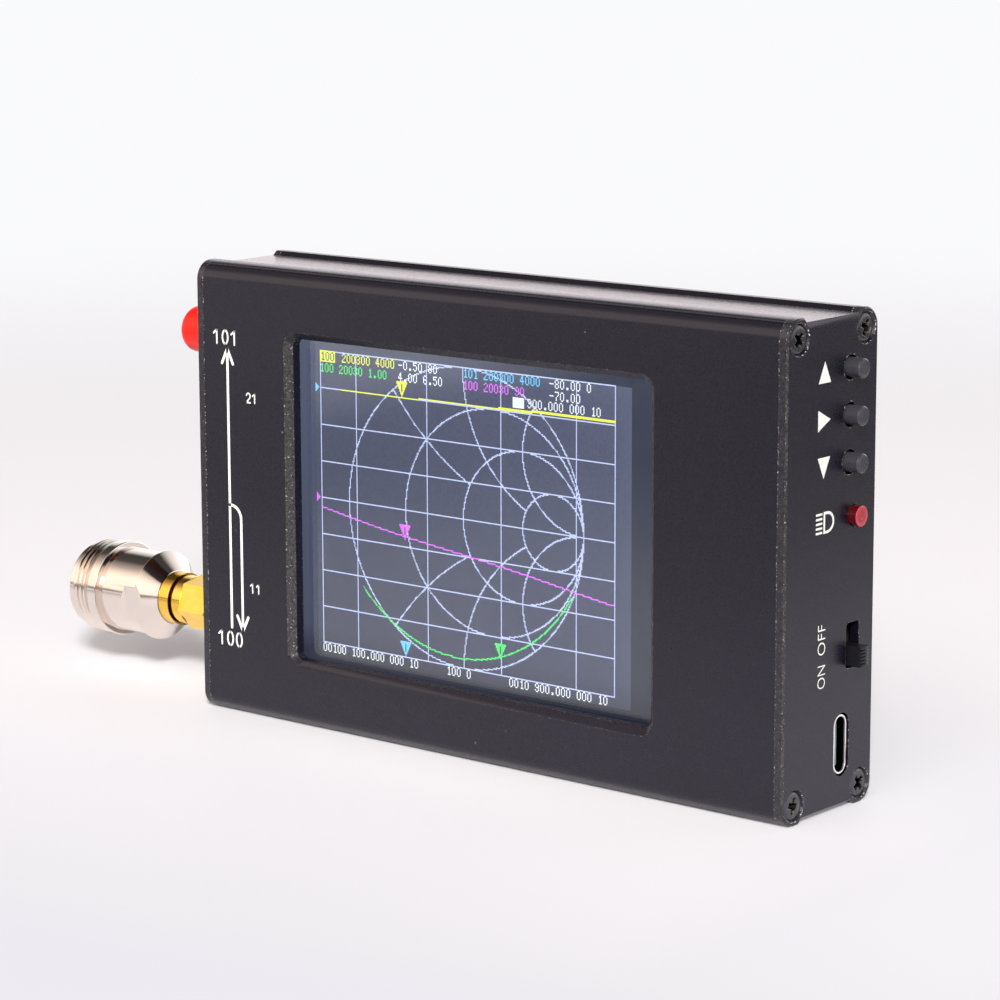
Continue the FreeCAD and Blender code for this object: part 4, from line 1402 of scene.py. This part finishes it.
def socketFinish(mouth):
    # bright nickel with painted shade that darkens it down in the mouth
    s = socketSettings
    material = metalSheet("bright nickel", s["nickel"], 0.3, 0.2)
    m = Numbers(material.node_tree)
    nodes = m.tree.nodes
    place = m.parts(nodes["Texture Coordinate"].outputs["Object"])
    far, near = (mouth - depth * mm for depth in s["mouthShadeDepths"])
    # painted shade, from dark deep in the mouth to bright nickel near it
    bright = m.node("MapRange", {"Value": place["X"], "From Min": far, "From Max": near}).outputs[0]
    inputs = {"Factor": bright, 6: (*s["dark"], 1), 7: (*s["nickel"], 1)}
    colour = m.node("Mix", inputs, data_type="RGBA").outputs[2]
    m.tree.links.new(colour, nodes["Principled BSDF"].inputs["Base Color"])
    return material


def buildSocket():
    # charging socket: a rolled lip on its shell, contact strips on its tongue
    s = socketSettings
    shape = copyNode("usb_shell")
    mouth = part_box("usb_shell")[1].x
    rim = [edge for edge in shape.edges if all(abs(v.co.x - mouth) < 0.001 * mm for v in edge.verts)]
    roundOff(shape, rim, s["lipRound"], 4)
    dress("usb_shell", meshFromShape("socket shell", shape), [socketFinish(mouth)], "case", 40)
    paint(moulded("socket grey", (0.14, 0.18, 0.23), 0.35), "usb_tongue")
    strip = bmesh.new()
    long, thick, wide = s["padLong"], s["padThick"] / 2, s["padWide"] / 2
    addBlock(strip, (-long, -thick, -wide), (0, thick, wide))
    model = linked("strip", meshFromShape("strip", strip))
    low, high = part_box("usb_tongue")
    places = []
    for y in (low.y, high.y):
        for k in range(s["padCount"]):
            z = (low.z + high.z) / 2 + (k - (s["padCount"] - 1) / 2) * s["padPitch"] * mm
            places.append((high.x - s["padInset"] * mm, y, z))
    stripGold = polished("strip gold", dict(goldSettings, roughness=0.2))
    mesh = copied(model, places, Seed=0, LooseTurn=0.0, Finish=stripGold)
    bpy.data.objects.remove(model)
    addObject("usb_contacts", mesh, [stripGold], "case")


buildButtons()
buildLamp()
buildSocket()
buildKnob()
print("controls finished")

# ports and the cap on the upper one
portSettings = {
    "barrel": 3.175,
    "barrelNear": 0.01,
    "threadStart": 0.4,  # beyond the left end plate
    "threadEnd": 0.2,  # behind it
    "length": 12.1,
    "pitch": 25.4 / 36,
    "core": 2.79,
    "depth": 0.385,
    "rowStep": 0.07,
    "capColour": (0.80, 0.010, 0.003),
    "capRound": 1.5,
    "capBore": 3.225,
    "capFloor": 1.2,
}
# stations are distances beyond the left end plate: (station, radius, rounding)
adapterSettings = {
    "section": (
        (19.4, 3.45, 0), (19.4, 4.6, 0.1), (22.25, 7.57, 0.25), (22.35, 7.57, 0.1), (22.5, 7.18, 0.1),
        (31.0, 7.18, 0.05), (31.0, 8.15, 0.25), (33.0, 8.15, 0.25), (33.0, 7.32, 0), (38.2, 7.32, 0.3),
        (38.2, 4.05, 0.2), (29.2, 4.05, 0), (29.2, 3.45, 0),
    ),
    "flats": 13.0,
    "flatStart": 19.0,
    "flatEnd": 25.0,
    "flatTurn": 7.0,
    "flatRound": 0.1,
    "cutterReach": (9.0, 8.0),
    "threadStart": 33.0,
    "length": 4.3,
    "pitch": 25.4 / 24,
    "core": 7.28,
    "depth": 0.6575,
    "rowStep": 0.05,
}
bronzeSettings = dict(goldSettings, colour=(0.6, 0.38, 0.2), colourWarm=(0.5, 0.32, 0.18), roughness=0.25)
contactGold = polished("contact gold", dict(goldSettings, roughness=0.2))
whiteInsulator = moulded("white insulator", (0.78, 0.78, 0.76), 0.4, 0.4, 0.003)


def buildPorts():
    # each jack's plain barrel is drawn in to the thread's core, and gets a thread round it
    s = portSettings
    for level in ("upper", "lower"):
        centre = nodeAxis(level + "_port_nut")[0]
        node = level + "_port_jack"
        shape = copyNode(node)
        for vert in shape.verts:
            arm = Vector((vert.co.y / mm - centre[0], vert.co.z / mm - centre[1]))
            onBarrel = abs(arm.length - s["barrel"]) < s["barrelNear"]
            if onBarrel and vert.co.x < (leftFace + plateThick + s["threadEnd"]) * mm:
                arm *= s["core"] / arm.length
                vert.co.y = (centre[0] + arm.x) * mm
                vert.co.z = (centre[1] + arm.y) * mm
        mesh = threaded(meshFromShape("jack", shape), leftFace - s["threadStart"], centre, s, gold)
        dress(node, mesh, [gold], "case", 30)
        paint(gold, level + "_port_nut")
        paint(whiteInsulator, level + "_port_insulator")
        paint(contactGold, level + "_port_contact")


def buildCap():
    s = portSettings
    centre, r, x0, x1 = nodeAxis("dust_cap")
    floor = x0 + s["capFloor"]
    section = ((x1, s["capBore"], 0.1), (x1, r, 0.15), (x0, r, s["capRound"]), (x0, 0, 0), (floor, 0, 0),
               (floor, s["capBore"], 0))
    capRed = moulded("red cap vinyl", s["capColour"], 0.34, 0.3, 0.006, Specular_IOR_Level=0.3)
    dress("dust_cap", turnedMesh("cap", section, centre), [capRed], "dust_cap", 30)


def flatCutter(centre, side):
    # block that leaves a flat with a sloped end on one side of the adapter
    s = adapterSettings
    far, tall = s["cutterReach"]
    half = s["flats"] / 2
    cutter = bmesh.new()
    y0, y1 = sorted((centre[0] + side * half, centre[0] + side * far))
    block = addBlock(cutter, (leftFace - s["flatEnd"], y0, centre[1] - tall),
                     (leftFace - s["flatStart"], y1, centre[1] + tall))
    for vert in block[:4]:
        vert.co.x -= abs(vert.co.y - centre[0] * mm) - half * mm
    spin = Matrix.Rotation(math.radians(s["flatTurn"]), 3, "X")
    bmesh.ops.rotate(cutter, verts=cutter.verts, cent=Vector((0, *centre)) * mm, matrix=spin)
    roundOff(cutter, cutter.edges[:], s["flatRound"])
    return cutter


def buildAdapter():
    s = adapterSettings
    centre = nodeAxis("lower_port_nut")[0]
    section = [(leftFace - station, radius, rounding) for station, radius, rounding in s["section"]]
    cutters = [flatCutter(centre, side) for side in (-1, 1)]
    mesh = cutAway(turnedMesh("adapter body", section, centre, 128), cutters)
    mesh = threaded(mesh, leftFace - s["threadStart"], centre, s, nickel)
    dress("adapter_body", mesh, [nickel], "adapter", 32)
    paint(gold, "adapter_nut", "adapter_plug")
    paint(whiteInsulator, "adapter_dielectric")
    paint(contactGold, "adapter_contact")
    paint(polished("spring bronze", bronzeSettings), "adapter_snap_ring")
    paint(moulded("red silicone", (0.35, 0.05, 0.03), 0.6), "adapter_seal")


buildPorts()
buildCap()
buildAdapter()
print("ports finished")

# inside the case
boardSettings = {
    "mask": (0.005, 0.055, 0.028),
    "maskOverCopper": (0.012, 0.12, 0.055),
    "print": (0.02, 0.16, 0.08),
    "trackPitch": 2.2,
    "trackLevel": (0.3, 0.36),
    "tracks": 0.6,
    "trackDepth": 0.03,
    "brickScale": 90.0,  # bricks per metre
    "bricks": 0.15,
}


def boardFinish():
    # green solder mask over copper runs
    s = boardSettings
    made = Finish("circuit board", s["mask"], 0.28)
    runs = made.node("TexBrick", {"Vector": made.coords, "Scale": s["brickScale"]}).outputs["Fac"]
    tracks = made.spread(made.cells(s["trackPitch"]), *s["trackLevel"])
    colour = made.blend(made.times(tracks, s["tracks"]), s["mask"], s["maskOverCopper"])
    made.setTo("Base Color", made.blend(made.times(runs, s["bricks"]), colour, s["print"]))
    made.bump(tracks, s["trackDepth"])
    return made.done()


def finishInside():
    paint(boardFinish(), "main_board")
    paint(metalSheet("pressed tray", (0.62, 0.62, 0.61), 0.35), "lcd_frame")
    paint(metalSheet("tinned can", (0.66, 0.66, 0.64), 0.32), "upper_port_shield", "lower_port_shield",
          "mixer_shield", "clock_oscillator")
    paint(metalSheet("battery foil", (0.62, 0.63, 0.65), 0.4, 1.5, (1, 1, 1)), "battery")
    paint(moulded("chip black", (0.02, 0.02, 0.022), 0.45), "control_chip", "charger_chip", "charger_coil")
    paint(moulded("ivory nylon", (0.62, 0.58, 0.48), 0.5), "flex_connector", "battery_plug")
    paint(moulded("amber ribbon", (0.45, 0.20, 0.03), 0.35, 0.5, 0.004), "lcd_flex")
    paint(moulded("lead skin", (0.45, 0.02, 0.015), 0.45), "battery_leads")


finishInside()
print("inside finished")

# floor, light and camera; the floor's lengths are metres, except for its patches
floorSettings = {
    "size": 12.0,
    "colour": (0.825, 0.822, 0.857),
    "patchy": 0.985,
    "patchSize": 60.0,
    # what the camera sees, near the object and far from it
    "near": (0.845, 0.825, 0.880),
    "far": (0.955, 0.955, 0.97),
    "lookNear": 0.03,
    "lookFar": 0.72,
    "backLift": 0.1,
    "frontLift": 0.65,
    "frontFrom": (-0.02, -0.09),
    "rightFrom": (0.06, 0.1),
    # dim room in front and to the right, for the glossy sides to show
    "room": (0.16, 0.15, 0.15),
    "roomAway": (0.045, 0.26),
    "roomFront": (-0.04, -0.16),
    "roomLeft": (-0.26, -0.21),
    "roomRight": (0.12, 0.22),
    "roomLift": 0.2,
}
# colours of the studio round it, from the front horizon (0) over the ceiling to the back wall (1)
skySettings = {
    "stops": (
        (0.0, (0.30, 0.27, 0.26)), (0.015, (0.40, 0.36, 0.34)), (0.04, (1.95, 1.66, 1.42)),
        (0.25, (2.1, 1.76, 1.5)), (0.40, (0.70, 0.60, 0.52)), (0.52, (0.10, 0.09, 0.085)),
        (0.68, (0.07, 0.065, 0.06)), (0.76, (1.1, 1.08, 1.07)), (0.9, (2.1, 1.95, 2.0)), (1.0, (2.3, 2.14, 2.2)),
    ),
    "power": 0.50,
    "gloss": 0.80,
}
# place and size in metres, watts, and the kind of ray that misses the lamp
lightSettings = {
    "key": ((1.6, -1.95, 1.62), (0.5, 0.5), 112.0, "visible_glossy"),
    "glint": ((1.75, -2.25, 1.0), (0.6, 0.6), 14.0, "visible_diffuse"),
    "front fill": ((0.35, -1.15, 1.25), (1.1, 0.9), 5.0, "visible_glossy"),
}
lightAim = (0, 0, 0.03)
cameraSettings = {
    "azimuth": 39.678,
    "elevation": 10.716,
    "roll": -0.175,
    "distance": 532.9,
    "target": (-3.94, 0.0, 39.28),
    "focal": 123.99,
    "sensor": 36,
    "clips": (0.01, 30),  # metres
}


def buildFloor():
    # pale floor; the camera sees it partly as plain white, and it ends in a dim room behind the camera
    s = floorSettings
    made = Finish("studio floor", s["colour"], 0.6, Specular_IOR_Level=0.2)
    spot = made.parts(made.coords)
    away = made.node("VectorMath", {0: made.coords}, operation="LENGTH").outputs["Value"]
    front = made.times(made.spread(spot["Y"], *s["roomFront"]), made.spread(spot["X"], *s["roomLeft"]))
    room = made.most(front, made.spread(spot["X"], *s["roomRight"]))
    dim = made.times(made.spread(away, *s["roomAway"]), room)
    cloud = made.blend(made.noise(s["patchSize"], 2.0), s["colour"], tuple(c * s["patchy"] for c in s["colour"]))
    made.setTo("Base Color", made.blend(dim, cloud, s["room"]))
    far = made.spread(away, s["lookNear"], s["lookFar"], interpolation_type="SMOOTHSTEP")
    near = made.spread(spot["Y"], *s["frontFrom"], s["backLift"], s["frontLift"])
    near = made.most(near, made.spread(spot["X"], *s["rightFrom"], 0.0, s["frontLift"]))
    lift = made.most(made.most(made.spread(dim, 0.0, s["roomLift"]), near), far)
    lift = made.times(made.node("LightPath").outputs["Is Camera Ray"], lift)
    glow = made.node("Emission", {"Color": made.blend(far, s["near"], s["far"])}).outputs[0]
    mix = made.node("MixShader", {0: lift, 1: made.shader.outputs[0], 2: glow}).outputs[0]
    made.tree.links.new(mix, made.tree.nodes["Material Output"].inputs["Surface"])
    shape = bmesh.new()
    half = s["size"] / 2
    corners = [(-half, -half), (half, -half), (half, half), (-half, half)]
    shape.faces.new([shape.verts.new((x, y, 0)) for x, y in corners])
    mesh = meshFromShape("floor", shape)
    mesh.materials.append(made.done())
    linked("floor", mesh)


def buildSky():
    s = skySettings
    world = bpy.data.worlds.new("studio")
    bpy.context.scene.world = world
    world.use_nodes = True
    m = Numbers(world.node_tree)
    light = m.node("LightPath").outputs
    spot = m.parts(m.node("TexCoord").outputs["Generated"])
    over = m.maths("ARCTAN2", spot["Z"], m.times(spot["Y"], -1.0))
    turn = m.node("MapRange", {"Value": over, "From Max": math.pi}).outputs[0]
    ramp = m.node("ValToRGB", {"Fac": turn})
    elements = ramp.color_ramp.elements
    for k, (at, colour) in enumerate(s["stops"]):
        stop = elements[k] if k < 2 else elements.new(at)
        stop.position = at
        stop.color = (*colour, 1)
    # the camera sees the far floor's colour instead
    plain = (*(c / s["power"] for c in floorSettings["far"]), 1)
    inputs = {"Factor": light["Is Camera Ray"], 6: ramp.outputs[0], 7: plain}
    colour = m.node("Mix", inputs, data_type="RGBA").outputs[2]
    inputs = {"Value": light["Is Glossy Ray"], "To Min": s["power"], "To Max": s["gloss"]}
    power = m.node("MapRange", inputs).outputs[0]
    ground = m.tree.nodes["Background"]
    m.tree.links.new(colour, ground.inputs["Color"])
    m.tree.links.new(power, ground.inputs["Strength"])


def buildLamps():
    for name, (place, size, power, unseen) in lightSettings.items():
        light = bpy.data.lights.new(name, "AREA")
        light.shape = "RECTANGLE"
        light.size, light.size_y = size
        light.energy = power
        lamp = linked(name, light)
        lamp.location = place
        lamp.rotation_euler = (Vector(lightAim) - Vector(place)).to_track_quat("-Z", "Y").to_euler()
        setattr(lamp, unseen, False)


def buildCamera():
    s = cameraSettings
    azimuth, elevation, roll = (math.radians(s[angle]) for angle in ("azimuth", "elevation", "roll"))
    flat = math.cos(elevation)
    back = Vector((math.sin(azimuth) * flat, -math.cos(azimuth) * flat, math.sin(elevation)))
    target = Vector(s["target"]) + Vector((caseMiddle, 0, 0))
    camera = linked("camera", bpy.data.cameras.new("camera"))
    camera.data.lens = s["focal"]
    camera.data.sensor_width = s["sensor"]
    camera.data.clip_start, camera.data.clip_end = s["clips"]
    turn = (-back).to_track_quat("-Z", "Y").to_matrix() @ Matrix.Rotation(roll, 3, "Z")
    camera.matrix_world = Matrix.Translation((target + back * s["distance"]) * mm) @ turn.to_4x4()
    bpy.context.scene.camera = camera


buildFloor()
buildSky()
buildCamera()
buildLamps()
bpy.context.scene.view_settings.view_transform = "Standard"
print("studio built")
